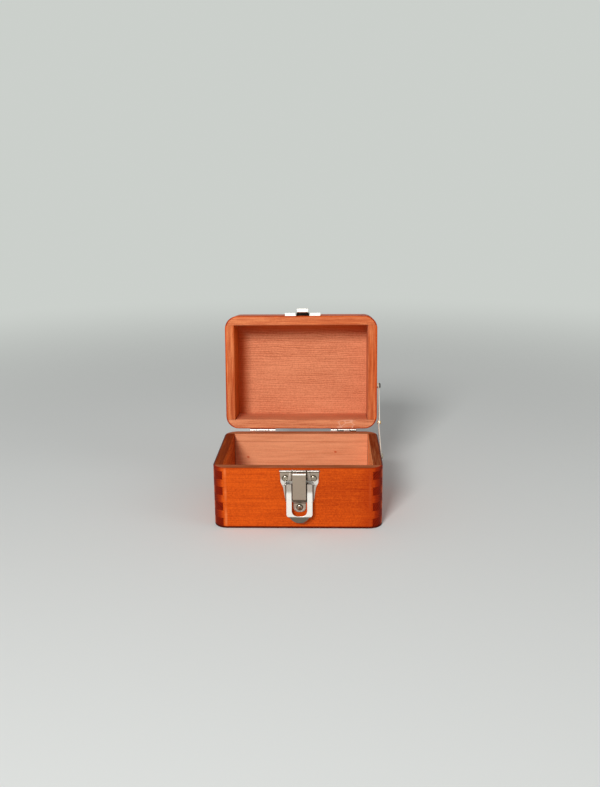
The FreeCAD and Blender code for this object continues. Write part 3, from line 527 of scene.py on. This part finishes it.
    def scuff_rim(self, base, start, end):
        """Pale scuffs across a rim, between two places along it."""
        cells = self.cell_edges(self.place, (0.2, 0.4, 0.8), (120, 250, 150), self.shift)
        first, last = self.SCUFF_ENDS
        area = self.step(self.x, start, start + first) * self.until(self.x, end - last, end)
        scraped = self.until(cells, 0.03, 0.12) * (area * self.rim)
        return self.mix(scraped * 0.42, base, self.look.scuffed)

    def draw_joints(self, base):
        """Dark lines between the fingers, and on the rim where two boards meet."""
        inner_x, inner_y = HALF_LENGTH - WALL, HALF_DEPTH - WALL
        over_x = self.step(abs(self.x), inner_x - self.WALL_FADE, inner_x)
        over_y = self.step(abs(self.y), inner_y - self.WALL_FADE, inner_y)
        rim = RIM + SEAM if self.leaning else RIM
        row = self.math("FRACT", (self.z - rim) / FINGER + 0.5) - 0.5
        line = self.until(abs(abs(row) * FINGER - 0.5 * FINGER), *self.FINGER_LINE)
        seam = self.until(abs(abs(self.y) - inner_y), *self.SEAM_LINE) * over_x
        joints = self.most(line * (over_x * over_y) * self.outer, seam)
        return self.mix(joints * 0.55, base, self.look.end_dark)

    def paint_corner_sheen(self, base):
        """A painted sheen where the corners start to round, most of all at the left."""
        sheen = self.until(abs(self.into_corner - self.RUBBED_MIDDLE), *self.RUBBED_BAND)
        sheen = sheen * self.step(self.cloud + 0.3 * self.speckle, 0.50, 0.85) * self.outer
        sheen = sheen * (1 - 0.85 * self.step(self.x, *self.SHEEN_LEFT))
        return self.mix(sheen * 0.55, base, self.look.corner_sheen)

    def darken_arrises(self, base):
        """Stain gathered on the outer arrises, darkest on the base's side boards."""
        gathered = self.step(self.slope, 0.20, 0.6) * self.outer
        if not self.lengthwise and not self.leaning:
            return self.mix(gathered * 0.95, base, self.look.end_dark)
        gathered = gathered * self.until(self.slope, 0.90, 0.99)
        return self.mix(gathered * (0.18 if self.leaning else 0.55), base, self.look.end_light)

    def darken_edge(self, base):
        """Very dark, near black, all along a thin panel's edge."""
        edge = self.outer * self.until(self.slope, 0.9, 0.99)
        return self.mix(edge * 0.95, base, self.look.edge_dark)

    def varnish(self, base):
        """The finished material: satin outside, drier inside and on end grain."""
        rough = (self.look.satin + 0.26 * (1 - self.outer) + 0.14 * (self.cloud - 0.5)
                 + 0.10 * self.end + 0.10 * (self.fibre - 0.5))
        height = (self.fibre * 0.55 - self.late * 0.45 - self.pores * 0.8
                  + self.speckle * self.end * 0.5)
        return self.close(base, rough, 0.0, height, strength=0.5, depth=self.RELIEF, gloss=0.05)


def stained_wood(name, grain, pith, seed, leaning=False, outer_face=None, wave=1.0, lines=1.0,
                 bands=1.0, mottled=0.5, fade=None, inside=None, rim_stain=0.0,
                 soaked_and_shaded_edges=None, knots=(), streaks=(), scuff=None, dark_edge=False):
    """The stain of one board or panel.  The grain is an axis, the pith is at (across, z),
    leaning is for pieces of the open lid, and outer_face is the pair of levels between which
    a panel's outer face starts.  wave, lines, bands, mottled and rim_stain are strengths, and
    inside is a pair of colours.  fade is (axis, start, end, share) for painted shade along
    an axis, soaked edges are (front, left) where stain and painted warm shade gather inside a
    panel, a knot (x, z, size), a streak (level, axis) and a scuff (start, end) along x."""
    wood = StainedWood(name, grain, pith, seed, leaning, outer_face, wave)
    dark = wood.darkness(lines, bands, mottled, fade)
    inner = wood.mix(dark, *(inside or (wood.look.inner_light, wood.look.inner_dark)))
    if leaning:
        inner = wood.stain_lid_rim(dark, inner, rim_stain)
    else:
        inner = wood.stain_base_rim(inner)
    base = wood.stain_ends(wood.mix(wood.outer, inner, wood.stain_outside(dark)))
    if soaked_and_shaded_edges:
        base = wood.soak_and_shade_edges(base, *soaked_and_shaded_edges)
    for knot in knots:
        base = wood.mark_knot(base, *knot)
    for streak in streaks:
        base = wood.mark_line(base, *streak)
    if scuff:
        base = wood.scuff_rim(base, *scuff)
    base = wood.draw_joints(base)
    if wood.lengthwise and not wood.panel:
        base = wood.paint_corner_sheen(base)
    base = wood.darken_edge(base) if dark_edge else wood.darken_arrises(base)
    return wood.varnish(base)


# ---- metal ----

# Brush lines per metre each way, by the axis that the brush ran along, how much of each
# colour is left where the plating is worn, and the depth of the lines, in metres.
BRUSHES = {"x": (120, 5200, 5200), "y": (5200, 120, 5200), "z": (5200, 5200, 120)}
WORN = (0.52, 0.47, 0.40)
LINE_DEPTH = 0.00002


def shaded(tone, share):
    """A tone made darker, or lighter past 1."""
    return tuple(share * level for level in tone)


def patch(tone, share, fade, **spans):
    """A patch of another tone on plating, between the low and high of each axis or facing
    that is named, with edges that fade over a distance."""
    return tone, share, fade, spans


def plated_metal(name, tone, rough, brush="x", leaning=False, wear=0.5, seed=0.0,
                 patches=(), rings=(), heads=False, sides=0.0, metal=1.0):
    """Plated sheet steel: fine brush lines along an axis, hairline scratches, haze and pits.
    Patches come from patch, rings are screws (x, z, radius) with dirt and painted shade round
    them, or on their heads, and sides is how far the sheet's cut edges are darkened as
    painted shade."""
    finish = Finish(name)
    place, facing = shut_place(finish, leaning)
    axes = dict(zip(("x", "y", "z", "facing_x", "facing_y", "facing_z"),
                    (*finish.split(place), *finish.split(facing))))
    shift = (seed * 2.3, seed * 4.1, seed * 1.7)
    brushed = finish.noise(place, BRUSHES[brush], 2.0, 0.6, shift)
    haze = finish.noise(place, (160, 160, 160), 3.0, 0.6, shift)
    grime = finish.step(finish.noise(place, (420, 420, 420), 3.0, 0.65, shift), 0.56, 0.76)
    pits = finish.step(finish.noise(place, (3100, 3100, 3100), 1.0, 0.5, shift), 0.70, 0.80)
    cells = finish.cell_edges(place, (0.3, 0.9, 0.5), (500, 60, 500), shift)
    scratch = finish.until(cells, 0.004, 0.018) * finish.step(haze, 0.45, 0.6)
    dim = finish.clamped(wear * (grime * 0.5 + pits * 0.6 + (haze - 0.4) * 0.5))
    base = finish.mix(dim, tone, tuple(level * left for level, left in zip(tone, WORN)))
    for patch_tone, share, fade, spans in patches:
        for axis, (low, high) in spans.items():
            share = share * finish.step(axes[axis], low - fade, low)
            share = share * finish.until(axes[axis], high, high + fade)
        base = finish.mix(share, base, patch_tone)
    if rings:
        base = screw_dirt_and_shade(finish, base, axes, rings, haze, heads)
    # Painted shade on the sheet's cut edges, which face sideways.
    if sides:
        cut = finish.until(abs(axes["facing_y"]), 0.25, 0.6)
        base = finish.mix(cut * sides, base, SHADOW)
    roughness = (rough + 0.16 * (haze - 0.5) + 0.12 * (brushed - 0.5) + scratch * 0.16
                 + grime * 0.12)
    height = brushed * 0.5 - scratch * 0.9 - pits * 0.7
    return finish.close(base, roughness, metal, height, strength=0.35, depth=LINE_DEPTH,
                        gloss=0.5)


def screw_places():
    """The latch plate's three screws, as (x, z, radius)."""
    low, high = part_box("latch_screws")
    middle, radius = 0.5 * (low.x + high.x), SCREW_HEAD
    ears, foot = high.z - radius, low.z + radius
    return ((low.x + radius, ears, radius), (high.x - radius, ears, radius),
            (middle, foot, radius))


def screw_dirt_and_shade(finish, base, axes, rings, haze, heads):
    """Dirt and painted shade round the screws (x, z, radius): on the rims of the heads, or on
    the plate under them with a painted highlight on a lip below."""
    nearest = None
    for ring_x, ring_z, radius in rings:
        off_x, off_z = axes["x"] - ring_x, axes["z"] - ring_z
        reach = finish.distance(off_x, off_z) / radius
        nearest = finish.least(nearest, reach) if nearest else reach
        if not heads:
            # A painted highlight on a lip below each screw.
            lip = finish.step(reach, 1.2, 1.38) * finish.until(reach, 1.5, 1.85)
            base = finish.mix(lip * finish.step(off_z, 0.0004, -0.0022) * 0.75, base, LIT)
    # Dirt with painted shade round the screws, on their heads' rims or on the plate.
    dirt = finish.step(nearest, 0.74, 0.93) if heads else finish.until(nearest, 1.0, 1.25)
    return finish.mix(dirt * (0.75 + 0.5 * (haze - 0.5)), base, DIRT_AND_SHADE)


def smooth_piece(name, shaped):
    """A new object with a finished bmesh, which shades smoothly."""
    for face in shaped.faces:
        face.smooth = True
    mesh = bpy.data.meshes.new(name)
    shaped.to_mesh(mesh)
    shaped.free()
    piece = bpy.data.objects.new(name, mesh)
    bpy.context.scene.collection.objects.link(piece)
    return piece


def softened(node, body, width, material):
    """A piece in a CAD node's place whose sheared edges are rolled over, except round the
    latch's two pins."""
    shaped = bmesh.new()
    shaped.from_mesh(frame["nodes"][node].data)
    bmesh.ops.remove_doubles(shaped, verts=shaped.verts, dist=1e-7)
    bmesh.ops.dissolve_limit(shaped, angle_limit=FLAT, use_dissolve_boundaries=False,
                             verts=shaped.verts, edges=shaped.edges)
    bores = [0.5 * (low + high) for low, high in map(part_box, ("lever_pin", "tongue_pin"))]
    sharp = [edge for edge in shaped.edges
             if len(edge.link_faces) == 2 and edge.calc_face_angle() > SHEARED
             and not any(math.hypot(vert.co.y - bore.y, vert.co.z - bore.z) < PIN_CLEAR
                         for bore in bores for vert in edge.verts)]
    bmesh.ops.bevel(shaped, geom=sharp, offset=width, offset_type="OFFSET", affect="EDGES",
                    segments=2, profile=0.5, material=-1, clamp_overlap=False)
    bmesh.ops.remove_doubles(shaped, verts=shaped.verts, dist=1e-6)
    piece = smooth_piece(node + "_pressed", shaped)
    piece.data.set_sharp_from_angle(angle=CREASE)
    piece.data.materials.append(material)
    flats = piece.modifiers.new("flats", "WEIGHTED_NORMAL")
    flats.keep_sharp = True
    flats.weight = 100
    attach(piece, body)
    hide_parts(node)


def press_ribs(middle, material):
    """The two raised channels that run down the latch plate from its flange to the lever,
    clear of the lever's swing."""
    face, proud, sunk = -HALF_DEPTH - 0.0009, 0.0014, 0.0003
    low, high = 0.0450, 0.0539
    outline = [(0.0066, low), (0.0112, low), (0.0098, low + 0.0042), (0.0092, high),
               (0.0066, high)]
    ribs = bmesh.new()
    corners = [ribs.verts.new((middle + x, face + sunk, z)) for x, z in outline]
    front = bmesh.ops.extrude_face_region(ribs, geom=[ribs.faces.new(corners)])["geom"]
    raised = [part for part in front if isinstance(part, bmesh.types.BMVert)]
    bmesh.ops.translate(ribs, verts=raised, vec=(0, -proud - sunk, 0))
    bmesh.ops.recalc_face_normals(ribs, faces=ribs.faces)
    rounded = [edge for edge in ribs.edges if all(vert in raised for vert in edge.verts)]
    bmesh.ops.bevel(ribs, geom=rounded, offset=0.0006, offset_type="OFFSET", affect="EDGES",
                    segments=3, profile=0.5, material=-1, clamp_overlap=True)
    bmesh.ops.mirror(ribs, geom=[*ribs.verts, *ribs.edges, *ribs.faces],
                     matrix=Matrix.Translation((-middle, 0, 0)), merge_dist=1e-6, axis="X")
    bmesh.ops.recalc_face_normals(ribs, faces=ribs.faces)
    piece = smooth_piece("latch_ribs", ribs)
    piece.data.set_sharp_from_angle(angle=CREASE)
    piece.data.materials.append(material)
    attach(piece, "base")


def press_latch_plate(look):
    """The latch's plate, with painted light and shade: a shaded field under its flange, lugs
    beside the lever painted dark, and its foot, which shows in the lever's slot, painted darker."""
    low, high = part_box("latch_plate")
    middle, flange = 0.5 * (low.x + high.x), high.z - 0.0009
    tone = tuple(0.45 * light + 0.55 * dark for light, dark in zip(look.bright, look.shaded_nickel))
    lugs, face = (low.y - 0.001, -HALF_DEPTH - 0.002), (-HALF_DEPTH - 0.0015, 0.0)
    foot = (middle - 0.0058, middle + 0.0058)
    under_flange = patch(SHADOW, 0.85, 0.0007, z=(flange - 0.0010, flange))
    # Painted shade over the field under the flange.
    marks = (patch(shaded(look.shaded_nickel, 0.9), 0.9, 0.0008, z=(RIM - 0.0098, flange)),
             under_flange,
             # The foot painted darker, as shade, where it shows in the lever's slot.
             patch(look.shaded_nickel, 0.75, 0.0002, x=foot, z=(low.z, 0.0245)),
             # Lugs painted dark as shade, hiding glints on their tops and faces.
             patch(LUG_SHADE, 0.85, 0.0002, y=lugs, z=(0.0, RIM - 0.0100)),
             patch(LUG_MIDDLE_SHADE, 0.97, 0.0002, y=lugs, z=(RIM - 0.0160, RIM - 0.0110)),
             # A painted highlight along the top flange, where it catches the light.
             patch(look.bright, 1.0, 0.00008, z=(flange + 0.00005, high.z + 0.001)),
             patch(SHADOW, 0.85, 0.0002, x=(middle + 0.0057, middle + 0.0069)),
             patch(SHADOW, 0.45, 0.0002, x=(middle - 0.0068, middle - 0.0059),
                   z=(0.0, RIM - 0.0160)),
             patch(LIT, 1.0, 0.0003, y=face, z=(RIM - 0.0150, RIM - 0.0112)),
             # A painted highlight between painted shadows, above the foot.
             patch(SHADOW, 0.8, 0.0005, x=foot, z=(0.0262, 0.0284)),
             patch(look.bright, 0.7, 0.0002, x=foot, z=(0.0250, 0.0257)),
             patch(SHADOW, 0.7, 0.0003, x=foot, z=(0.0239, 0.0246)))
    softened("latch_plate", "base", look.press * 2.1,
             plated_metal("latch_plate_plating", tone, rough=0.40, brush="z", patches=marks,
                          rings=screw_places(), sides=0.75))
    # Painted shadow over the right rib; the ribs' plating is a lighter copy of the rails' painted
    # shade.
    right_rib_shadow = patch(RAIL_SHADE, 0.8, 0.0002, x=(middle, middle + 0.02))
    press_ribs(middle, plated_metal("latch_rib_plating", shaded(RAIL_SHADE, 1.5), rough=0.40,
                                    brush="z", seed=2.0, patches=(right_rib_shadow, under_flange)))


def press_latch_lever(look):
    """The forked lever, with painted shade: its rails darken towards the pivot, their upper ends
    and upward faces are painted dark against glints, and its thumb tab is painted dark.
    """
    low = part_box("latch_lever")[0]
    # Painted shade: darker rails near the pivot, dark top ends and a dark thumb tab.
    marks = (patch(RAIL_SHADE, 0.88, 0.0035, z=(RIM - 0.0185, RIM)),
             patch(RAIL_END_SHADE, 0.8, 0.0004, z=(RIM - 0.0131, RIM)),
             patch(RAIL_TOP_SHADE, 0.97, 0.0002, z=(RIM - 0.0134, RIM), facing_z=(0.2, 1.1)),
             patch(THUMB_SHADE, 0.92, 0.0008, z=(low.z - 0.001, low.z + 0.0061)))
    softened("latch_lever", "lever", look.press * 2.3,
             plated_metal("lever_plating", look.bright, look.polish, brush="z", wear=0.7,
                          seed=3.0, metal=0.8, patches=marks))


def press_draw_tongue(look):
    """The draw tongue, lit along its hooked lip and shaded at its lower end."""
    low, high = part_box("draw_tongue")
    marks = (patch(look.bright, 0.55, 0.0004, z=(high.z - 0.0010, high.z + 0.001)),
             patch(SHADOW, 0.8, 0.0010, z=(low.z - 0.001, low.z + 0.0012)))
    softened("draw_tongue", "tongue", look.press,
             plated_metal("tongue_plating", look.shaded_nickel, rough=0.42, brush="z", wear=0.3,
                          seed=4.0, patches=marks))


def dress(node, material):
    """Give a CAD node its finish."""
    slots = frame["nodes"][node].data.materials
    slots.clear()
    slots.append(material)


# ---- operators ----

class BOX_OT_stain_base(bpy.types.Operator):
    """Stain the four boards of the base"""

    bl_idname = "box.stain_base"
    bl_label = "Stain the base boards"

    def execute(self, context):
        look = context.scene.box_wood
        dress("base_front_board",
              stained_wood("base_front_stain", "x", pith=(-0.085, -0.035), seed=1.3, wave=0.5,
                           lines=0.30, bands=0.72, mottled=0.6,
                           # Painted shade, darker towards the right end, away from the light.
                           fade=("x", -0.06, HALF_LENGTH, 0.26)))
        dress("base_rear_board",
              stained_wood("base_rear_stain", "x", pith=(0.11, -0.06), seed=2.7, wave=0.5,
                           lines=0.15, mottled=0.25, streaks=((0.0483, "z"),),
                           # The rear board's inside painted paler, as painted light.
                           inside=(look.lit_rear_light, look.lit_rear_dark),
                           knots=((-0.0530, 0.0325, 0.0017), (0.0333, 0.0378, 0.0015))))
        dress("base_left_board",
              stained_wood("base_left_stain", "y", pith=(-0.12, -0.05), seed=3.1,
                           # The left board's inside painted deeper, and darker towards the rear
                           # corner, as shade.
                           inside=(look.shaded_left_light, look.shaded_left_dark),
                           fade=("y", -0.030, 0.046, 0.55)))
        dress("base_right_board",
              stained_wood("base_right_stain", "y", pith=(0.13, -0.03), seed=4.9,
                           # The right board's inside painted paler, as painted light.
                           inside=(look.lit_right_light, look.lit_right_dark)))
        return {"FINISHED"}


class BOX_OT_stain_lid(bpy.types.Operator):
    """Stain the four boards of the lid"""

    bl_idname = "box.stain_lid"
    bl_label = "Stain the lid boards"

    def execute(self, context):
        look = context.scene.box_wood
        dress("lid_front_board",
              stained_wood("lid_front_stain", "x", pith=(-0.10, 0.16), seed=5.7, leaning=True,
                           wave=0.6, lines=0.8, rim_stain=0.8))
        dress("lid_rear_board",
              stained_wood("lid_rear_stain", "x", pith=(0.10, 0.02), seed=6.1, leaning=True,
                           wave=1.4, scuff=(0.034, 0.056)))
        dress("lid_left_board",
              stained_wood("lid_left_stain", "y", pith=(-0.11, 0.15), seed=7.3, leaning=True,
                           # The lid's left board painted deeper inside, and darker towards the
                           # rear, as shade.
                           rim_stain=1.0, inside=(look.shaded_side_light, look.shaded_side_dark),
                           fade=("y", -0.030, 0.030, 0.30)))
        dress("lid_right_board",
              stained_wood("lid_right_stain", "y", pith=(0.12, 0.14), seed=8.9, leaning=True,
                           rim_stain=1.0))
        return {"FINISHED"}


class BOX_OT_stain_panels(bpy.types.Operator):
    """Stain the bottom panel and the top panel"""

    bl_idname = "box.stain_panels"
    bl_label = "Stain the panels"

    def execute(self, context):
        dress("base_bottom_panel",
              stained_wood("bottom_stain", "x", pith=(0.02, -0.09), seed=9.7,
                           outer_face=(0.0012, 0.0004), dark_edge=True))
        dress("lid_top_panel",
              stained_wood("top_stain", "x", pith=(-0.115, 0.045), seed=10.3, leaning=True,
                           outer_face=(LID_TOP - 0.0025, LID_TOP - 0.0015), wave=1.7,
                           lines=0.95, bands=0.62, mottled=0.56, streaks=((-0.0315, "y"),),
                           # Stain and painted warm shade gathered inside, along the front and
                           # left boards.
                           soaked_and_shaded_edges=(WALL - HALF_DEPTH, WALL - HALF_LENGTH)))
        return {"FINISHED"}


class BOX_OT_plate_hinges(bpy.types.Operator):
    """Plate the two hinges and their pins"""

    bl_idname = "box.plate_hinges"
    bl_label = "Plate the hinges"

    def execute(self, context):
        look = context.scene.box_metal
        tone = shaded(look.bright, 0.82)
        low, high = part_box("right_hinge_pin")
        axis_y, axis_z = 0.5 * (low.y + high.y), 0.5 * (low.z + high.z)
        # Painted shade below some of the right hinge's knuckles, in the dark dirt tone.
        knuckle = patch(DIRT_AND_SHADE, 0.97, 0.0002, x=(low.x + 0.0195, high.x + 0.0011),
                        y=(0.0, axis_y + 0.0004), z=(RIM, axis_z + 0.0001))
        gap = patch(DIRT_AND_SHADE, 0.97, 0.0002, x=(low.x + 0.0066, low.x + 0.0128),
                    y=(axis_y - 0.0001, axis_y + 0.004), z=(axis_z - 0.004, axis_z))
        for side, seed, on_base, on_lid in (("left", 1.0, (), ()),
                                            ("right", 2.0, (knuckle,), (gap,))):
            softened(f"{side}_hinge_base_leaf", "base", look.press * 0.6,
                     plated_metal(f"{side}_base_leaf_plating", tone, rough=0.33, seed=seed,
                                  patches=on_base))
            softened(f"{side}_hinge_lid_leaf", "lid", look.press * 0.6,
                     plated_metal(f"{side}_lid_leaf_plating", tone, rough=0.33,
                                  leaning=True, seed=seed + 0.5, patches=on_lid))
            dress(f"{side}_hinge_pin",
                  plated_metal(f"{side}_pin_steel", SHADOW, rough=0.45, seed=seed))
        return {"FINISHED"}


class BOX_OT_plate_latch(bpy.types.Operator):
    """Plate the latch on the base: plate, lever, tongue and pins"""

    bl_idname = "box.plate_latch"
    bl_label = "Plate the latch"

    def execute(self, context):
        look = context.scene.box_metal
        press_latch_plate(look)
        press_latch_lever(look)
        press_draw_tongue(look)
        # The latch pins painted dark, as shade that hides their glint.
        for node in ("lever_pin", "tongue_pin"):
            dress(node, plated_metal(node + "_steel", look.pin, rough=0.5, seed=5.0))
        return {"FINISHED"}


class BOX_OT_plate_keeper(bpy.types.Operator):
    """Plate the keeper on the lid"""

    bl_idname = "box.plate_keeper"
    bl_label = "Plate the keeper"

    def execute(self, context):
        look = context.scene.box_metal
        middle = 0.5 * sum(corner.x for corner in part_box("keeper_plate"))
        # Painted shade under the keeper's arch, where its hook curls over.
        arch = patch(HOLLOW_SHADE, 0.97, 0.00015, x=(middle - 0.0064, middle + 0.0064),
                     y=(-HALF_DEPTH - 0.0034, -HALF_DEPTH + 0.001),
                     facing_z=(-1.1, 0.3), facing_y=(-0.3, 1.1))
        softened("keeper_plate", "lid", look.press,
                 plated_metal("keeper_plating", shaded(look.bright, 0.86), look.polish,
                              leaning=True, seed=6.0, patches=(arch,)))
        return {"FINISHED"}


class BOX_OT_plate_screws(bpy.types.Operator):
    """Plate all the screws"""

    bl_idname = "box.plate_screws"
    bl_label = "Plate the screws"

    def execute(self, context):
        look = context.scene.box_metal
        for node in ("hinge_base_screws", "hinge_lid_screws", "latch_screws", "keeper_screws",
                     "stay_base_screw", "stay_lid_screw"):
            leaning = "lid" in node or "keeper" in node
            heads = screw_places() if node == "latch_screws" else ()
            # The stay's upper screw painted dark, as a dark reflection.
            tone = look.dark_reflection_screw if node == "stay_lid_screw" else look.screw
            marks = ()
            if heads:
                foot_x, foot_z, _ = heads[-1]
                # A red-brown patch on the lowest latch screw's head.
                marks = (patch(RED_BROWN, 0.85, 0.0006, x=(foot_x - 0.0010, foot_x + 0.0010),
                               z=(foot_z - 0.0013, foot_z + 0.0002)),)
            # Dirt with painted shade on the rims of the latch screws' heads.
            dress(node, plated_metal(node + "_plating", tone, rough=0.22, leaning=leaning,
                                     wear=0.8, seed=7.0, patches=marks, rings=heads, heads=True))
        return {"FINISHED"}


class BOX_OT_plate_stay(bpy.types.Operator):
    """Plate the folding stay, its washers and its elbow rivet"""

    bl_idname = "box.plate_stay"
    bl_label = "Plate the stay"

    def execute(self, context):
        look = context.scene.box_metal
        softened("stay_lower_link", "stay_lower", look.press,
                 plated_metal("lower_link_plating", look.stay, rough=0.31, brush="y", seed=8.0,
                              metal=0.5))
        softened("stay_upper_link", "stay_upper", look.press,
                 plated_metal("upper_link_plating", look.stay, rough=0.31, brush="z", seed=9.0))
        for node in ("stay_base_washer", "stay_lid_washer"):
            dress(node, plated_metal(node + "_plating", look.stay, rough=0.34, seed=10.0))
        for node in ("stay_rivet_head", "stay_rivet_tail"):
            dress(node, plated_metal(node + "_brass", look.brass, rough=0.26, seed=11.0))
        return {"FINISHED"}


class BOX_OT_set_stage(bpy.types.Operator):
    """Lay the floor, hang the lights and set the camera"""

    bl_idname = "box.set_stage"
    bl_label = "Set the stage"

    def execute(self, context):
        look = context.scene.box_stage
        lay_floor(look)
        hang_lights(look)
        set_camera(look)
        context.scene.view_settings.view_transform = "Standard"
        return {"FINISHED"}


# ---- stage ----

def lay_floor(look):
    """A plain floor that fades into the backdrop's colour far from the box."""
    sweep = bmesh.new()
    bmesh.ops.create_grid(sweep, x_segments=1, y_segments=1, size=FLOOR_REACH)
    floor = smooth_piece("stage_floor", sweep)
    paint = Finish("floor_paint")
    near = paint.node("ShaderNodeBsdfPrincipled", None,
                      {"Base Color": look.floor, "Roughness": 0.9, "Specular IOR Level": 0.1})
    far = paint.node("ShaderNodeEmission", None, {"Color": look.backdrop})
    place = paint.node("ShaderNodeTexCoord", None, None, "Object")
    away = paint.node("ShaderNodeVectorMath", {"operation": "LENGTH"}, {0: place}, "Value")
    share = paint.step(away, *FLOOR_FADE) * seen_directly(paint)
    paint.node_out(paint.node("ShaderNodeMixShader", None, {0: share, 1: near, 2: far}))
    floor.data.materials.append(paint.material)


def seen_directly(paint):
    """1 for what the camera sees straight, mirrored or through glass, and 0 for light."""
    straight = paint.node("ShaderNodeLightPath", None, None, "Is Camera Ray")
    mirrored = paint.beside(straight, "Is Glossy Ray")
    through = paint.beside(straight, "Is Transmission Ray")
    return paint.most(straight, paint.most(mirrored, through))


def soft_light(name, place, aim, size, power):
    """A square soft light that looks at a point."""
    lamp = bpy.data.lights.new(name, "AREA")
    lamp.shape = "SQUARE"
    lamp.size = size
    lamp.energy = power
    holder = bpy.data.objects.new(name, lamp)
    holder.location = place
    holder.rotation_euler = (Vector(aim) - Vector(place)).to_track_quat("-Z", "Y").to_euler()
    bpy.context.scene.collection.objects.link(holder)


def hang_lights(look):
    """A large soft light from the left front, a weaker one from the right, and the sky."""
    aim = (0.0, 0.03, 0.08)
    soft_light("key_light", (-0.52, -1.85, 1.12), aim, 0.55, look.key)
    soft_light("fill_light", (1.6, -0.7, 1.0), aim, 1.0, look.fill)
    sky = Finish("surroundings", bpy.data.worlds.new("surroundings"))
    bpy.context.scene.world = sky.material
    light = sky.node("ShaderNodeBackground", None, {"Color": (1, 1, 1), "Strength": look.sky})
    shown = sky.node("ShaderNodeBackground", None, {"Color": look.backdrop})
    share = seen_directly(sky)
    sky.node_out(sky.node("ShaderNodeMixShader", None, {0: share, 1: light, 2: shown}),
                 "ShaderNodeOutputWorld")


def set_camera(look):
    """A camera whose own axes come from its yaw, pitch and roll."""
    yaw, pitch, roll = -look.yaw, look.pitch, look.roll
    ahead = Vector((math.sin(yaw) * math.cos(pitch), math.cos(yaw) * math.cos(pitch),
                    -math.sin(pitch)))
    level = Vector((math.cos(yaw), -math.sin(yaw), 0))
    rise = level.cross(ahead)
    right = level * math.cos(roll) + rise * math.sin(roll)
    up = rise * math.cos(roll) - level * math.sin(roll)
    camera = bpy.data.cameras.new("camera")
    camera.lens = look.lens
    camera.sensor_width = SENSOR
    holder = bpy.data.objects.new("camera", camera)
    holder.location = look.camera_place
    holder.rotation_euler = Matrix((right, up, -ahead)).transposed().to_euler()
    bpy.context.scene.collection.objects.link(holder)
    bpy.context.scene.camera = holder


# ---- add-on ----

WORK = (BOX_OT_stain_base, BOX_OT_stain_lid, BOX_OT_stain_panels, BOX_OT_plate_hinges,
        BOX_OT_plate_latch, BOX_OT_plate_keeper, BOX_OT_plate_screws, BOX_OT_plate_stay,
        BOX_OT_set_stage)


SETTINGS = {"box_wood": WoodSettings, "box_metal": MetalSettings, "box_stage": StageSettings}


class BOX_PT_looks(bpy.types.Panel):
    """The box's steps, in order"""

    bl_idname = "BOX_PT_looks"
    bl_label = "Box"
    bl_space_type = "VIEW_3D"
    bl_region_type = "UI"
    bl_category = "Box"

    def draw(self, context):
        """The settings first, then the steps."""
        for holder, kind in SETTINGS.items():
            for name in kind.__annotations__:
                self.layout.prop(getattr(context.scene, holder), name)
        for step in WORK:
            self.layout.operator(step.bl_idname)


def register():
    """Add the settings, the steps and the panel."""
    for kind in (*SETTINGS.values(), *WORK, BOX_PT_looks):
        bpy.utils.register_class(kind)
    for holder, kind in SETTINGS.items():
        setattr(bpy.types.Scene, holder, PointerProperty(type=kind))


def unregister():
    """Take them away again."""
    for holder in SETTINGS:
        delattr(bpy.types.Scene, holder)
    for kind in (BOX_PT_looks, *WORK, *SETTINGS.values()):
        bpy.utils.unregister_class(kind)


def main():
    """Take every step in order."""
    register()
    bpy.ops.box.stain_base()
    bpy.ops.box.stain_lid()
    bpy.ops.box.stain_panels()
    bpy.ops.box.plate_hinges()
    bpy.ops.box.plate_latch()
    bpy.ops.box.plate_keeper()
    bpy.ops.box.plate_screws()
    bpy.ops.box.plate_stay()
    bpy.ops.box.set_stage()


if __name__ == "__main__":
    main()
